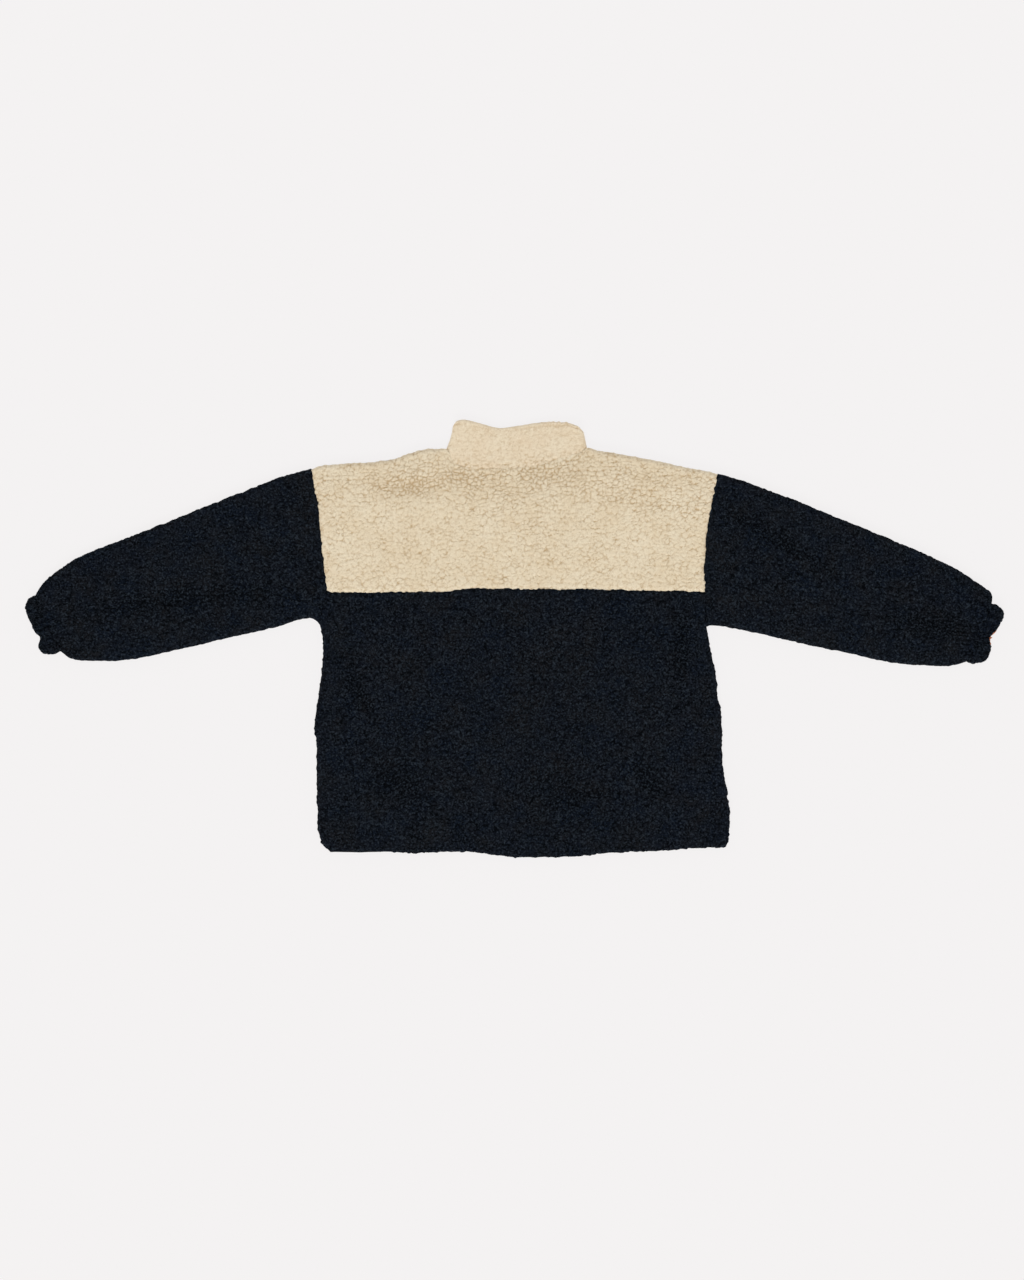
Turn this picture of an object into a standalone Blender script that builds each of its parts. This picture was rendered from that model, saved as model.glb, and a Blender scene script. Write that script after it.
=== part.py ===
"""A child's teddy jacket of sherpa pile, lying flat on its front with its back up.

X runs across the jacket, Y up towards the collar and Z away from the surface it lies on.
The front layer rests on Z = 0 and the back layer lies on it. Both are sherpa walls, joined
at half height round the outline. Sizes are in millimetres until a mesh is made, which turns
them into metres.
"""
import math

import bmesh
import bpy
import numpy as np

METRES = 0.001

# Cloth
WALL = 5.0                  # sherpa, from the knitted ground to the tips of the pile
LAYER_GAP = 0.8             # between the front layer and the back layer at their nearest
SEAM_GAP = 0.3              # between pieces sewn to each other
ARMHOLE_GAP = 0.5           # the same round the armholes, whose two sides are divided unlike
RISE = WALL + LAYER_GAP / 2.0
MIDDLE = RISE               # height of the plane where the two layers meet
HALF_SEAM = SEAM_GAP / 2.0
SEAM_DIP = 1.1              # how far a flat seam pulls the pile down
SEAM_DIP_WIDTH = 4.0
EDGE_SHARE = 0.07           # height left at the very edge of a rolled side
LOFT = 2.1                  # how far the back layer stands off the front one inside the outline
LOFT_WIDTH = 45.0
LOFT_LIMIT = 3.0

# Front opening
ZIP_X = 6.0
SLOT_HALF = 5.0
TAPE_LOW, TAPE_HIGH = 3.3, 4.0
TEETH_GAP = 0.3
FRONT_NECK_Y = 136.0
FRONT_NECK_FORM = 2.6
FRONT_COLLAR_TOP_Y = 181.0
FRONT_HEM_DROP = 2.0

# Collar
COLLAR_BASE_LEFT, COLLAR_BASE_RIGHT = -73.2, 81.4
COLLAR_BASE_Y = 209.0
COLLAR_SINK = 3.4           # how far the back of the collar sinks at its top edge
COLLAR_SEAM_GAP = 0.6
FRONT_COLLAR_FORM = 2.2

# Slider and pull tab
AXIS_Y, AXIS_Z = 171.0, 1.7
BAR_RADIUS = 0.45
RUNNING_GAP = 0.25
PLATE = 0.6
ARCH = 0.65
ARCH_HALF_WIDTH = 1.0
TAB_LENGTH, TAB_HALF_WIDTH = 23.0, 2.5
TAB_WINDOW_HALF, TAB_WINDOW_LENGTH = 1.3, 3.0

# Armhole and side lines, from the shoulder down to the hem: height on the jacket, place across
LEFT_SIDE = (
    # y, x
    (185.4, -221.6), (151.8, -215.3), (110.8, -210.5), (79.2, -207.5), (51.5, -204.9),
    (14.3, -211.8), (-2.0, -208.0), (-37.0, -210.0), (-62.0, -213.7), (-98.0, -217.8),
    (-124.0, -215.6), (-189.0, -215.3), (-213.0, -213.7), (-226.0, -210.0), (-233.5, -201.0),
)
RIGHT_SIDE = (
    (180.3, 225.2), (151.8, 218.9), (114.0, 212.5), (79.2, 210.3), (51.5, 210.3),
    (12.7, 212.3), (-5.0, 215.6), (-27.0, 220.3), (-62.0, 225.2), (-93.0, 229.2),
    (-138.0, 230.5), (-169.0, 234.6), (-194.0, 238.4), (-219.0, 237.6), (-229.5, 234.0),
)
LEFT_ARMPIT_Y, RIGHT_ARMPIT_Y = 14.3, 12.7

# Shoulder line with the back of the neck: place across, height
SHOULDERS = (
    # x, y
    (-221.6, 185.4), (-214.0, 188.9), (-203.0, 190.9), (-159.5, 193.4), (-132.0, 197.0),
    (-104.5, 206.0), (-90.0, 208.4), (-74.8, 208.6),
)
BACK_NECK = (
    (-74.8, 208.6), (-66.2, 195.5), (-56.0, 189.0), (-40.7, 186.4), (7.7, 187.4),
    (35.2, 193.0), (62.7, 199.8), (81.4, 209.4),
)
RIGHT_SHOULDER = (
    (81.4, 209.4), (104.5, 204.6), (132.0, 199.9), (159.5, 195.0), (192.5, 187.6),
    (210.0, 184.8), (225.2, 180.3),
)

# Seam between the upper and lower back
CHEST_SEAM = (
    (-204.9, 51.3), (-168.3, 50.6), (-80.3, 51.8), (-41.8, 54.9), (-3.3, 54.5), (95.7, 53.9),
    (210.3, 51.2),
)

# Hem of the back
HEM = (
    (-201.0, -232.9), (-140.8, -233.8), (-113.3, -235.4), (-80.3, -234.3), (-47.3, -233.8),
    (-25.3, -237.1), (7.7, -240.4), (40.0, -240.3), (84.7, -237.6), (106.7, -234.9),
    (139.7, -234.3), (194.7, -230.5), (234.0, -229.0),
)

# Top edge of the collar at the back, from its left corner to its right one
COLLAR_TOP = (
    (-67.6, 233.5), (-60.5, 239.3), (-55.0, 240.4), (-38.5, 237.1), (-14.0, 231.4),
    (5.5, 233.8), (41.8, 238.7), (53.9, 238.2), (71.0, 233.2), (77.5, 227.5),
)

# Sleeves: fold along the top, seam under the arm, line of gathers, all from the body outwards
SLEEVES = {
    "left": {
        "high": ((-222.1, 186.5), (-247.5, 179.9), (-300.3, 160.1), (-366.3, 133.7),
                 (-432.3, 107.3), (-471.9, 91.9), (-498.3, 76.5), (-518.1, 58.9), (-525.3, 46.8)),
        "low": ((-212.3, 14.3), (-216.6, 19.6), (-222.5, 22.4), (-260.7, 12.7), (-313.5, 0.6),
                (-366.3, -11.6), (-419.1, -22.6), (-445.5, -24.8), (-471.9, -24.2),
                (-487.0, -21.4), (-497.6, -13.8)),
        "gather": ((-497.6, -13.8), (-512.8, 16.2), (-525.3, 46.8)),
    },
    "right": {
        "high": ((225.7, 181.0), (249.7, 174.4), (302.5, 154.6), (381.7, 122.7), (434.5, 100.7),
                 (487.3, 76.5), (513.7, 58.9), (523.2, 51.6), (525.8, 38.5)),
        "low": ((212.8, 12.7), (217.5, 14.4), (223.3, 14.2), (262.9, 7.2), (315.7, -5.0),
                (368.5, -16.0), (421.3, -27.0), (447.7, -29.2), (474.1, -30.3),
                (488.0, -28.6), (499.0, -25.2)),
        "gather": ((499.0, -25.2), (514.5, 5.5), (525.8, 38.5)),
    },
}

# Cuffs: the same three lines, and the ruffled end, from the line of gathers outwards
CUFFS = {
    "left": {
        "high": ((-525.6, 46.7), (-529.4, 45.9), (-534.2, 42.2), (-536.8, 37.4)),
        "low": ((-497.9, -14.0), (-501.2, -16.4), (-508.0, -17.9), (-517.0, -16.5)),
        "gather": ((-497.9, -14.0), (-513.2, 16.1), (-525.6, 46.7)),
        "end": ((-517.0, -16.5), (-521.2, -7.2), (-518.8, 0.0), (-525.8, 9.0), (-529.6, 15.5),
                (-530.6, 20.5), (-537.4, 30.0), (-536.8, 37.4)),
    },
    "right": {
        "high": ((526.1, 38.4), (529.9, 37.6), (534.4, 34.8), (536.6, 32.4)),
        "low": ((499.3, -25.3), (504.0, -26.9), (510.5, -27.4), (519.3, -24.8)),
        "gather": ((499.3, -25.3), (514.8, 5.4), (526.1, 38.4)),
        "end": ((519.3, -24.8), (523.6, -18.0), (525.3, -9.0), (523.6, 1.6), (528.0, 5.6),
                (535.2, 15.0), (539.0, 26.5), (536.6, 32.4)),
    },
}
GATHERS = 8                 # on the upper side of each sleeve end
GATHER_HEIGHT = 1.3
GATHER_REACH = 30.0         # how far the gathers run up the sleeve
PINCH = 0.82                # height left where the elastic pulls the sleeve in
CUFF_SWELL = 1.03
MOUTH_GAP = 2.2

# Lining that shows in the notch of the right cuff: corners, from the inside to the mouth
LINING_LOW, LINING_HIGH = MIDDLE - 0.4, MIDDLE + 0.4
LINING_CORNERS = ((514.0, -5.0), (525.6, -6.5), (529.6, 8.0), (516.0, 11.0))

# Soft folds of the upper layer: middle, half length, half width, turn in degrees, height
FOLDS = (
    # x, y, half_length, half_width, turn, height
    (-110.0, 166.7, 36.0, 11.0, 3.0, -1.5),       # yoke, under the left shoulder
    (-55.0, 179.0, 24.0, 9.0, -8.0, -1.1),        # yoke, left of the neck
    (37.4, 181.0, 24.0, 8.0, 8.0, -1.1),          # yoke, right of the neck
    (123.0, 156.0, 66.0, 12.0, -10.0, -1.0),      # yoke, under the right shoulder
    (-120.0, 143.0, 50.0, 14.0, 2.0, 0.5),        # yoke, ridge under the left trough
    (184.8, -12.7, 44.0, 8.0, 85.0, -1.7),        # lower back, below the right armpit
    (140.8, -31.4, 36.0, 17.0, 100.0, 0.8),       # lower back, ridge beside it
    (-171.6, -53.4, 34.0, 10.0, -56.0, -1.2),     # lower back, below the left armpit
    (-127.6, -87.5, 40.0, 14.0, -58.0, 0.7),      # lower back, ridge beside it
    (-119.9, -159.0, 42.0, 18.0, -40.0, -0.9),    # lower back, towards the hem on the left
    (52.8, -166.7, 38.0, 18.0, -10.0, -0.8),      # lower back, above the middle of the hem
    (150.7, -155.7, 26.0, 9.0, -50.0, -1.3),      # lower back, towards the hem on the right
    (184.8, -148.0, 26.0, 10.0, -50.0, 0.6),      # lower back, ridge beside it
    (-350.9, 86.4, 46.0, 18.0, 20.0, 0.6),        # left sleeve, ridge along the fold
    (-363.0, 44.6, 92.0, 10.0, 6.0, -1.2),        # left sleeve, trough along the middle
    (291.5, 108.4, 60.0, 8.0, -30.0, -1.3),       # right sleeve, trough from the shoulder
    (277.0, 84.0, 46.0, 12.0, -28.0, 0.6),        # right sleeve, ridge below it
    (462.0, 14.0, 44.0, 13.0, -12.0, -1.4),       # right sleeve, trough into the cuff
)

# How finely each piece is divided
EDGE_STEPS = (0.0, 0.5, 2.0, WALL)
ZIP_EDGE_STEPS = (2.5, 0.8, 0.0)
SHOULDER_COLUMNS = 7
NECK_COLUMNS = 9
FRONT_NECK_COLUMNS = 7
YOKE_ROWS = 7
LOWER_ROWS = (-225.0, -208.0, -185.0, -155.0, -125.0, -96.0, -66.0, -37.0, -16.0, 0.0, 13.5, 30.0)
SLEEVE_STATIONS = 12
CUFF_STATIONS = (0.0, 0.2, 0.45, 0.7, 0.88, 1.0)
CUFF_END = (1.0, 1.0, 1.0, 1.0, 0.8, 0.4)
COLLAR_ROWS = (0.0, 0.12, 0.4, 0.7, 0.9, 1.0)
COLLAR_EDGE = (0.78, 1.0, 1.0, 1.0, 0.8, 0.35)
FOLD_STEPS = 5

COLOURS = {
    "cream_sherpa": ((0.70, 0.59, 0.42), 0.95, 0.0),
    "navy_sherpa": ((0.008, 0.010, 0.014), 0.92, 0.0),
    "zip_tape": ((0.010, 0.012, 0.016), 0.80, 0.0),
    "zip_metal": ((0.32, 0.32, 0.33), 0.35, 1.0),
    "rust_lining": ((0.45, 0.13, 0.04), 0.70, 0.0),
}


def smooth(rows, at):
    """Heights of a smooth line through (place, height) rows; between two rows it overshoots neither."""
    places, heights = np.array(rows, float).T
    if places[0] > places[-1]:
        places, heights = places[::-1], heights[::-1]
    at = np.clip(at, places[0], places[-1])
    steps = np.diff(places)
    slopes = np.diff(heights) / steps
    product = slopes[:-1] * slopes[1:]
    total = slopes[:-1] + slopes[1:]
    inner = np.where(product > 0.0, 2.0 * product / np.where(product > 0.0, total, 1.0), 0.0)
    grades = np.concatenate([slopes[:1], inner, slopes[-1:]])
    part = np.clip(np.searchsorted(places, at, side="right") - 1, 0, len(steps) - 1)
    step = steps[part]
    t = (at - places[part]) / step
    return ((1.0 + 2.0 * t) * (1.0 - t) ** 2 * heights[part] + t * (1.0 - t) ** 2 * step * grades[part]
            + t * t * (3.0 - 2.0 * t) * heights[part + 1] + t * t * (t - 1.0) * step * grades[part + 1])


def curve(points, share):
    """Points at shares of the length of a smooth curve through the given (x, y) points."""
    points = np.array(points, float)
    lengths = np.concatenate([[0.0], np.cumsum(np.hypot(*np.diff(points, axis=0).T))])
    at = np.asarray(share, float) * lengths[-1]
    return np.stack([smooth(np.stack([lengths, points[:, axis]], 1), at) for axis in (0, 1)], -1)


def eased(distance, width):
    """0 at an edge, 1 from the given width inwards, level at both ends."""
    t = np.clip(distance / width, 0.0, 1.0)
    return t * t * (3.0 - 2.0 * t)


def rolled(distance, radius=WALL):
    """Share of full height beside an edge that rounds over in a quarter circle."""
    inside = np.clip(distance / radius, 0.0, 1.0)
    return np.sqrt(np.clip(1.0 - (1.0 - inside) ** 2, EDGE_SHARE ** 2, 1.0))


def dipped(distance):
    """Share of full height beside a seam sewn flat, where the pile is pulled down."""
    inside = np.clip(distance / SEAM_DIP_WIDTH, 0.0, 1.0)
    return 1.0 - SEAM_DIP / RISE * (1.0 - inside) ** 2


def mixed(share, one, other):
    """One form where share is 1, the other where it is 0."""
    return share * one + (1.0 - share) * other


def lift(x, y, loft_share):
    """How far the upper layer stands up: its loft inside the outline, with the soft folds on it."""
    height = np.full(np.shape(x), LOFT)
    for fold_x, fold_y, half_length, half_width, turn, fold_height in FOLDS:
        cosine, sine = math.cos(math.radians(turn)), math.sin(math.radians(turn))
        along = ((x - fold_x) * cosine + (y - fold_y) * sine) / half_length
        across = ((y - fold_y) * cosine - (x - fold_x) * sine) / half_width
        height = height + fold_height * np.exp(-along ** 2 - across ** 2)
    return np.clip(height, 0.0, LOFT_LIMIT) * loft_share


def material(name):
    """Principled material in one of the jacket's colours."""
    found = bpy.data.materials.get(name)
    if found:
        return found
    colour, roughness, metallic = COLOURS[name]
    made = bpy.data.materials.new(name)
    made.use_nodes = True
    shader = made.node_tree.nodes["Principled BSDF"]
    shader.inputs["Base Color"].default_value = (*colour, 1.0)
    shader.inputs["Roughness"].default_value = roughness
    shader.inputs["Metallic"].default_value = metallic
    made.diffuse_color = (*colour, 1.0)
    return made


def place_mesh(name, vertices, faces, slot):
    """Object with the given faces, its millimetres turned into metres and its faces pointing out."""
    mesh = bpy.data.meshes.new(name)
    mesh.from_pydata((np.asarray(vertices) * METRES).tolist(), [], faces)
    work = bmesh.new()
    work.from_mesh(mesh)
    bmesh.ops.recalc_face_normals(work, faces=work.faces)
    work.to_mesh(mesh)
    work.free()
    mesh.materials.append(material(slot))
    mesh.shade_smooth()
    mesh.set_sharp_from_angle(angle=math.radians(50.0))
    made = bpy.data.objects.new(name, mesh)
    jacket.objects.link(made)
    return made


def wall(name, outer, inner, slot, ring=False):
    """Closed wall between an outer and an inner grid of rows and columns of points.

    With ring, the columns run all round and meet; otherwise the side edges are closed too.
    """
    rows, columns = outer.shape[:2]
    vertices = np.concatenate([outer.reshape(-1, 3), inner.reshape(-1, 3)])
    index = np.arange(2 * rows * columns).reshape(2, rows, columns)
    if ring:
        index = np.concatenate([index, index[:, :, :1]], axis=2)
    faces = []
    for sheet in index:
        quads = np.stack([sheet[:-1, :-1], sheet[:-1, 1:], sheet[1:, 1:], sheet[1:, :-1]], -1)
        faces.append(quads.reshape(-1, 4))
    borders = [(index[0, 0], index[1, 0]), (index[0, -1], index[1, -1])]
    if not ring:
        borders += [(index[0, :, 0], index[1, :, 0]), (index[0, :, -1], index[1, :, -1])]
    for above, below in borders:
        faces.append(np.stack([above[:-1], above[1:], below[1:], below[:-1]], -1))
    return place_mesh(name, vertices, np.concatenate(faces).tolist(), slot)


def panel_grid(left, right, low, high, across, up, top_places=None):
    """Points of a panel between its side lines and its low and high lines.

    across holds each column's share of the width and up each row's share of the height. The
    top row is drawn to top_places, where those are given, and the rows below follow it less
    and less. The result is the place of each point and its distance from the four edges.
    """
    across, up = np.meshgrid(across, up)
    y = low + (high - low) * up
    x_left, x_right = smooth(left, y), smooth(right, y)
    x = x_left + (x_right - x_left) * across
    if top_places is not None:
        x = x + (top_places - x[-1]) * up ** 4
    return x, y, (x - x_left, x_right - x, y - low, high - y)


def shares(width, count):
    """Shares of a width with close steps in from both ends and even steps between them."""
    ends = np.array(EDGE_STEPS) / width
    return np.concatenate([ends[:-1], np.linspace(ends[-1], 1.0 - ends[-1], count), 1.0 - ends[-2::-1]])


def lower_shares():
    """Shares of the height of the lower panels, closer together below the armpits."""
    height = CHEST_SEAM[0][1] - HEM[0][1]
    ends = np.array(EDGE_STEPS) / height
    between = (np.array(LOWER_ROWS) - HEM[0][1]) / height
    return np.concatenate([ends[:-1], between, 1.0 - ends[::-1]])


def back_layer(x, y, edges, loft_share):
    """Outer and inner heights of a back panel from the height shares of its edges."""
    outer_share, inner_share = edges
    raised = lift(x, y, loft_share)
    outer = MIDDLE + HALF_SEAM + (RISE - HALF_SEAM + raised) * outer_share
    inner = MIDDLE + HALF_SEAM + (RISE - WALL - HALF_SEAM + raised) * inner_share
    return outer, inner


def front_layer(edges):
    """Outer and inner heights of a front panel, which lies flat on the surface."""
    outer_share, inner_share = edges
    outer = MIDDLE - HALF_SEAM - (RISE - HALF_SEAM) * outer_share
    inner = MIDDLE - HALF_SEAM - (RISE - WALL - HALF_SEAM) * inner_share
    return outer, inner


def turned(outer, inner, distance):
    """Both heights drawn together towards a turned edge, such as a hem."""
    share = rolled(distance, WALL / 2.0)
    middle = (outer + inner) / 2.0
    return middle + (outer - middle) * share, middle + (inner - middle) * share


def outline_shares(distance, sewn):
    """Outer and inner height shares beside an edge; sewn is 1 on a flat seam, 0 on the outline."""
    outer = mixed(sewn, dipped(distance), rolled(distance))
    inner = mixed(sewn, 1.0, eased(distance - WALL, WALL))
    loft = mixed(sewn, 1.0, eased(distance, LOFT_WIDTH))
    return np.stack([outer, inner, loft])


def stacked(x, y, z):
    """One array of points from three arrays of coordinates."""
    return np.stack([x, y, z], -1)


def across_at(x):
    """Share of the width of the yoke's top edge at a place across."""
    left, right = LEFT_SIDE[0][1], RIGHT_SIDE[0][1]
    return (np.asarray(x, float) - left) / (right - left)


def back_columns():
    """Columns of the back: close steps at the sides, then the shoulders and the neck."""
    left, right = LEFT_SIDE[0][1], RIGHT_SIDE[0][1]
    steps = np.array(EDGE_STEPS)
    places = np.concatenate([
        left + steps[:-1],
        np.linspace(left + steps[-1], COLLAR_BASE_LEFT - 1.6, SHOULDER_COLUMNS),
        back_neck_stations()[1:-1],
        np.linspace(COLLAR_BASE_RIGHT, right - steps[-1], SHOULDER_COLUMNS),
        right - steps[-2::-1],
    ])
    return across_at(places)


def back_neck_stations():
    """Places across where both the yoke and the collar have a column."""
    return np.linspace(BACK_NECK[0][0], BACK_NECK[-1][0], NECK_COLUMNS + 2)


def top_line(x):
    """Height of the shoulders and the back of the neck."""
    neck = (x > BACK_NECK[0][0]) & (x < BACK_NECK[-1][0])
    shoulders = np.where(x < 0.0, smooth(SHOULDERS, x), smooth(RIGHT_SHOULDER, x))
    return np.where(neck, smooth(BACK_NECK, x), shoulders)


def on_neck(x, low, high):
    """1 along the seam of the collar, 0 along the shoulders, eased between them."""
    return eased(x - low + 4.0, 8.0) * eased(high + 4.0 - x, 8.0)


def below_armpit(y, armpit_y):
    """1 along the armhole, 0 along the open side below it."""
    return eased(y - armpit_y + 8.0, 12.0)


def chest_line(across, left, right):
    """Height of the chest seam at shares of the width between two places across."""
    return smooth(CHEST_SEAM, left + (right - left) * across)


def back_yoke():
    """Upper back: shoulders and neck along its top, armholes at its sides."""
    across = back_columns()
    low = chest_line(across, CHEST_SEAM[0][0], CHEST_SEAM[-1][0]) + HALF_SEAM
    left, right = LEFT_SIDE[0][1], RIGHT_SIDE[0][1]
    high = top_line(left + (right - left) * across)
    x, y, edges = panel_grid(LEFT_SIDE, RIGHT_SIDE, low, high, across, shares(130.0, YOKE_ROWS))
    sewn_top = on_neck(x, BACK_NECK[0][0], BACK_NECK[-1][0])
    top = outline_shares(edges[3], sewn_top)
    sides = outline_shares(edges[0], 1.0) * outline_shares(edges[1], 1.0)
    chest = outline_shares(edges[2], 1.0)
    share = top * sides * chest
    loft = eased(edges[3], LOFT_WIDTH)
    outer, inner = back_layer(x, y, share[:2], loft)
    wall("back_yoke", stacked(x, y, outer), stacked(x, y, inner), "cream_sherpa")


def back_lower():
    """Lower back, from the chest seam to the hem; its sides are armhole, then open side."""
    across = back_columns()
    high = chest_line(across, CHEST_SEAM[0][0], CHEST_SEAM[-1][0]) - HALF_SEAM
    low = smooth(HEM, HEM[0][0] + (HEM[-1][0] - HEM[0][0]) * across)
    x, y, edges = panel_grid(LEFT_SIDE, RIGHT_SIDE, low, high, across, lower_shares())
    share = (outline_shares(edges[0], below_armpit(y, LEFT_ARMPIT_Y))
             * outline_shares(edges[1], below_armpit(y, RIGHT_ARMPIT_Y)) * outline_shares(edges[3], 1.0))
    outer, inner = back_layer(x, y, share[:2], share[2] * mixed(0.35, 1.0, eased(edges[2], LOFT_WIDTH)))
    outer, inner = turned(outer, inner, edges[2])
    wall("back_lower", stacked(x, y, outer), stacked(x, y, inner), "navy_sherpa")


def front_neck(x, base, edge):
    """Height of the front neckline, from the collar's base at the shoulder to the zip."""
    q = np.clip((edge - x) / (edge - base), 0.0, 1.0)
    return FRONT_NECK_Y + (COLLAR_BASE_Y - FRONT_NECK_Y) * q ** FRONT_NECK_FORM


def front_neck_stations(base, edge):
    """Places across where both a front and the collar have a column, from the base to the zip."""
    return base + (edge - base) * np.linspace(0.0, 1.0, FRONT_NECK_COLUMNS + 1) ** 0.8


def front_columns(side):
    """Places across of a front's columns at its top, from the armhole to the edge at the zip."""
    sign = -1.0 if side == "left" else 1.0
    arm = (LEFT_SIDE if side == "left" else RIGHT_SIDE)[0][1]
    base = BACK_NECK[0][0] if side == "left" else BACK_NECK[-1][0]
    edge = ZIP_X + sign * SLOT_HALF
    steps = np.array(EDGE_STEPS)
    return np.concatenate([
        arm - sign * steps[:-1],
        np.linspace(arm - sign * steps[-1], base, SHOULDER_COLUMNS),
        front_neck_stations(base, edge)[1:-1],
        edge + sign * np.array(ZIP_EDGE_STEPS),
    ])


def front_yoke(side):
    """Upper front on one side: armhole, shoulder, neckline and the edge along the zip."""
    sign = -1.0 if side == "left" else 1.0
    rows = LEFT_SIDE if side == "left" else RIGHT_SIDE
    base = BACK_NECK[0][0] if side == "left" else BACK_NECK[-1][0]
    edge = ZIP_X + sign * SLOT_HALF
    places = front_columns(side)
    across = (places - places[0]) / (edge - places[0])
    neck = (places - base) * sign < 0.0
    high = np.where(neck, front_neck(places, base, edge), top_line(places))
    low = chest_line(across, smooth(rows, CHEST_SEAM[0][1]), edge) + HALF_SEAM
    zip_edge = ((300.0, edge), (-300.0, edge))
    x, y, edges = panel_grid(rows, zip_edge, low, high, across, shares(130.0, YOKE_ROWS), places)
    arm_distance, zip_distance = np.abs(edges[0]), np.abs(edges[1])
    sewn_top = eased((base - x) * sign + 4.0, 8.0)
    share = (outline_shares(edges[3], sewn_top) * outline_shares(arm_distance, 1.0)
             * outline_shares(edges[2], 1.0))
    outer, inner = turned(*front_layer(share[:2]), zip_distance)
    wall("front_yoke_" + side, stacked(x, y, outer), stacked(x, y, inner), "cream_sherpa")


def front_lower(side):
    """Lower front on one side, from the chest seam to the hem, which hangs a little lower."""
    sign = -1.0 if side == "left" else 1.0
    rows = LEFT_SIDE if side == "left" else RIGHT_SIDE
    armpit = LEFT_ARMPIT_Y if side == "left" else RIGHT_ARMPIT_Y
    edge = ZIP_X + sign * SLOT_HALF
    places = front_columns(side)
    across = (places - places[0]) / (edge - places[0])
    hem = rows[-1][1] + (edge - rows[-1][1]) * across
    high = chest_line(across, smooth(rows, CHEST_SEAM[0][1]), edge) - HALF_SEAM
    drop = FRONT_HEM_DROP * eased(-hem - 120.0, 50.0) - 1.5 * eased(hem + 120.0, 60.0)
    low = smooth(HEM, hem) - drop
    zip_edge = ((300.0, edge), (-300.0, edge))
    x, y, edges = panel_grid(rows, zip_edge, low, high, across, lower_shares())
    side_distance, zip_distance = np.abs(edges[0]), np.abs(edges[1])
    share = outline_shares(side_distance, below_armpit(y, armpit)) * outline_shares(edges[3], 1.0)
    outer, inner = turned(*front_layer(share[:2]), edges[2])
    outer, inner = turned(outer, inner, zip_distance)
    wall("front_lower_" + side, stacked(x, y, outer), stacked(x, y, inner), "navy_sherpa")


def patch(low, high, start, end, along, across):
    """Points between four curves, the low and high ones along the sleeve, the others across it.

    Each point is the low and high curves mixed across, plus the start and end curves mixed
    along, less the four corners mixed both ways.
    """
    u, v = np.meshgrid(along, across, indexing="ij")
    u, v = u[..., None], v[..., None]
    low_points, high_points = low(along)[:, None], high(along)[:, None]
    start_points, end_points = start(across)[None], end(across)[None]
    corners = ((1 - u) * (1 - v) * low(0.0) + u * (1 - v) * low(1.0)
               + (1 - u) * v * high(0.0) + u * v * high(1.0))
    return (1 - v) * low_points + v * high_points + (1 - u) * start_points + u * end_points - corners


def tube(name, curves, along, across_count, heights, slot):
    """Flattened tube of sherpa between four curves.

    heights gives the upper, lower and slot heights at each point from its place, its distance
    from the nearer edge and the station along; the inner ring lies one wall inside the outer.
    """
    low, high = curves[:2]
    widths = np.hypot(*(high(along) - low(along)).T)
    across = shares(110.0, across_count)
    outer_points = patch(*curves, along, across)
    distance = np.minimum(across[None] * widths[:, None], (1.0 - across[None]) * widths[:, None])
    inset = WALL / widths[:, None]
    inner_across = inset + across[None] * (1.0 - 2.0 * inset)
    flat = patch(*curves, along, np.linspace(0.0, 1.0, 81))
    inner_points = np.stack([
        np.stack([np.interp(inner_across[row], np.linspace(0.0, 1.0, 81), flat[row, :, axis])
                  for axis in (0, 1)], -1) for row in range(len(along))])
    upper, lower, slot_top, slot_low = heights(outer_points, inner_points, distance, along, across)
    rings = []
    for points, top, bottom in ((outer_points, upper, lower), (inner_points, slot_top, slot_low)):
        above = np.concatenate([points, top[..., None]], -1)
        below = np.concatenate([points, bottom[..., None]], -1)
        rings.append(np.concatenate([above, below[:, -2:0:-1]], 1))
    wall(name, rings[0], rings[1], slot, ring=True)


def gathers(across, distance_from_line):
    """Waves across a sleeve end that die out with the distance from the line of gathers."""
    waves = np.cos(2.0 * math.pi * GATHERS * across)
    return GATHER_HEIGHT * waves[None] * np.exp(-distance_from_line / GATHER_REACH)[:, None]


def slot_share(across):
    """Height of the slot inside a tube, which closes towards its two side edges."""
    return np.sqrt(np.clip(1.0 - np.abs(2.0 * across - 1.0) ** 8, 0.0, 1.0))


def sleeve(side):
    """Sleeve from the armhole to the line of gathers, folded above and seamed below."""
    lines = SLEEVES[side]
    sign = -1.0 if side == "left" else 1.0
    rows = LEFT_SIDE if side == "left" else RIGHT_SIDE
    first, last = lines["low"][0], lines["high"][0]

    def armhole(share):
        y = first[1] + (last[1] - first[1]) * np.asarray(share, float)
        x = smooth(rows, y) + sign * ARMHOLE_GAP
        return np.stack([x, y], -1)

    length = 300.0
    along = np.concatenate([[0.0, 0.013], np.linspace(0.06, 0.93, SLEEVE_STATIONS - 4), [0.972, 1.0]])

    def heights(outer_points, inner_points, distance, along, across):
        x, y = outer_points[..., 0], outer_points[..., 1]
        sewn = dipped(along * length)[:, None]
        full = rolled(distance) * (distance > 0.0)
        pinch = mixed(eased((1.0 - along) * length, 14.0), 1.0, PINCH)[:, None]
        loft = eased(distance, LOFT_WIDTH) * eased((1.0 - along[:, None]) * length, 25.0)
        raised = lift(x, y, loft)
        waves = gathers(across, (1.0 - along) * length) * eased(distance, 8.0)
        upper = MIDDLE + (RISE * sewn * pinch + raised + waves) * full
        lower = MIDDLE - RISE * sewn * pinch * full
        half = (RISE - WALL) * slot_share(across)[None] * np.ones_like(distance)
        raised_inside = lift(inner_points[..., 0], inner_points[..., 1], loft)
        return upper, lower, MIDDLE + half + raised_inside * slot_share(across)[None], MIDDLE - half

    curves = (lambda s: curve(lines["low"], s), lambda s: curve(lines["high"], s), armhole,
              lambda s: curve(lines["gather"], s))
    tube("sleeve_" + side, curves, along, 2 * GATHERS + 1, heights, "navy_sherpa")


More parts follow.
